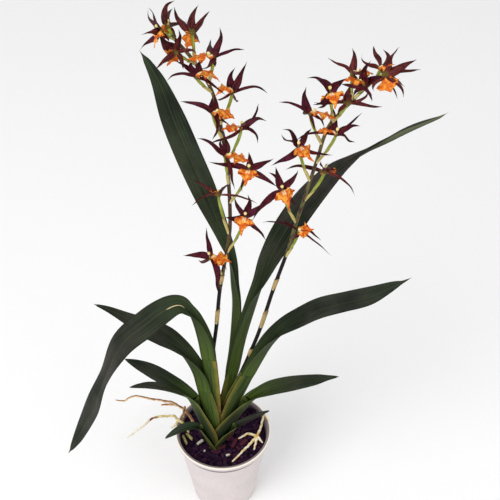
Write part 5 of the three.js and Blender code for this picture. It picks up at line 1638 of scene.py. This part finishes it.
def pot_finish():
    """Pot: matt white moulded plastic, faintly lilac, with a painted highlight along the rim's
    top, painted shade inside above the soil and in a line under its band, and scuffs near its
    foot, all read from height and radius."""
    finish = Finish("pot_plastic", shine=0.2)
    x, y, height = finish.parts(finish.place)
    radius = (x * x + y * y) ** 0.5
    band = (POT_HEIGHT - POT_BAND_HEIGHT) * MM
    # A painted highlight along the rim's top edge.
    rim_top = height.ease((POT_HEIGHT - 1.4) * MM, (POT_HEIGHT - 0.5) * MM)
    rim_round = radius.ease((POT_RIM_RADIUS - 1.6) * MM, (POT_RIM_RADIUS - 0.9) * MM)
    inside = radius.fade((POT_RIM_RADIUS - 1.9) * MM, (POT_RIM_RADIUS - 1.2) * MM)
    # Painted shade on the inner part of the rim and inside it, above the soil.
    inner_shade = inside * height.ease((SOIL_TOP - 2) * MM, (SOIL_TOP - 1) * MM)
    # Painted shade in a line under the band's ledge.
    ledge = height.ease(band - 1.4 * MM, band - 0.2 * MM) * height.fade(band, band + 0.8 * MM)
    clouds = finish.cloud(28)
    mottle = finish.cloud(420)
    layers = [
        (mottle.ease(0.4, 0.65) * 0.5, (206, 195, 197)),
        (rim_top * rim_round * 0.9, (255, 248, 226)),
        (inner_shade * 0.8, (98, 82, 84)),
        (ledge * 0.5, (168, 158, 156)),
        (height.fade(0, 12 * MM) * clouds.ease(0.4, 0.7) * 0.4, (204, 194, 190)),
    ]
    base = clouds.blend(0.35, 0.65, (212, 202, 203), (220, 210, 208))
    relief = finish.cloud(1500, 2) * 0.5 + clouds
    return finish.coat(base, layers, 0.42 + clouds * 0.16, relief, 0.12)


def floor_finish():
    """Floor: plain pale paper."""
    finish = Finish("floor_paper", shine=0.1)
    fibres = finish.cloud(300)
    base = fibres.mix((250, 250, 250), (247, 247, 247))
    return finish.coat(base, [], 0.9 + fibres * 0.05, fibres, 0.1)


# Studio

def camera():
    """The camera where the picture was taken from."""
    data = bpy.data.cameras.new("camera")
    data.sensor_width = SENSOR
    data.lens = EYE_FOCAL / PICTURE_STEPS * SENSOR
    data.clip_end = 50
    item = bpy.data.objects.new("camera", data)
    item.location = EYE * MM
    item.rotation_euler = (np.pi / 2 - EYE_TILT, 0, 0)
    link(item)
    bpy.context.scene.camera = item


def soft_light(name, place, aim, width, watts):
    """A square soft light at a place, turned to what it lights, in metres and watts."""
    data = bpy.data.lights.new(name, "AREA")
    data.shape = "SQUARE"
    data.size = width
    data.energy = watts
    item = bpy.data.objects.new(name, data)
    item.location = place
    way = Vector(aim) - Vector(place)
    item.rotation_euler = way.to_track_quat("-Z", "Y").to_euler()
    link(item)


def studio():
    """White surroundings, a large soft light from the front left, a fill and a pale floor."""
    world = bpy.data.worlds.new("studio")
    world.use_nodes = True
    back = world.node_tree.nodes["Background"]
    back.inputs["Color"].default_value = (1.0, 1.0, 1.0, 1.0)
    back.inputs["Strength"].default_value = 0.74
    bpy.context.scene.world = world
    bpy.context.scene.view_settings.view_transform = "Standard"
    soft_light("key", (-1.3, -1.6, 2.3), (0, 0, 0.35), 1.6, 42)
    soft_light("fill", (1.8, -1.2, 1.4), (0, 0, 0.3), 1.8, 8)
    mesh = bpy.data.meshes.new("floor")
    far = 4.0
    corners = [(-far, -far, 0), (far, -far, 0), (far, far, 0), (-far, far, 0)]
    mesh.from_pydata(corners, [], [(0, 1, 2, 3)])
    mesh.materials.append(floor_finish())
    floor = bpy.data.objects.new("floor", mesh)
    link(floor)


camera()
rng = np.random.default_rng(SEED)
leaf_green = leaf_finish()
for number, name in enumerate(LEAVES):
    blade(name, 1.7 * number).make(leaf_green)
crown().make(sheath_finish())
spike_skin = spike_finish()
bract_paper = bract_finish()
for side in STEMS:
    stems, papers = spike(side, rng)
    stems.make(spike_skin)
    papers.make(bract_paper)
tepal_maroon = tepal_finish()
lip_orange = lip_finish()
column_wax = column_finish()
for name in BLOOMS:
    tepals, lips, columns = bloom(name, rng)
    tepals.make(tepal_maroon)
    lips.make(lip_orange)
    columns.make(column_wax)
cut_drains(pot().make(pot_finish()))
soil(rng).make(soil_finish())
bark_chips = bark_finish()
chips(rng).make(bark_chips)
marked_chips(rng).make(bark_chips)
root_skin = root_finish()
for name in ROOTS:
    root_tubes(name, rng).make(root_skin)
studio()
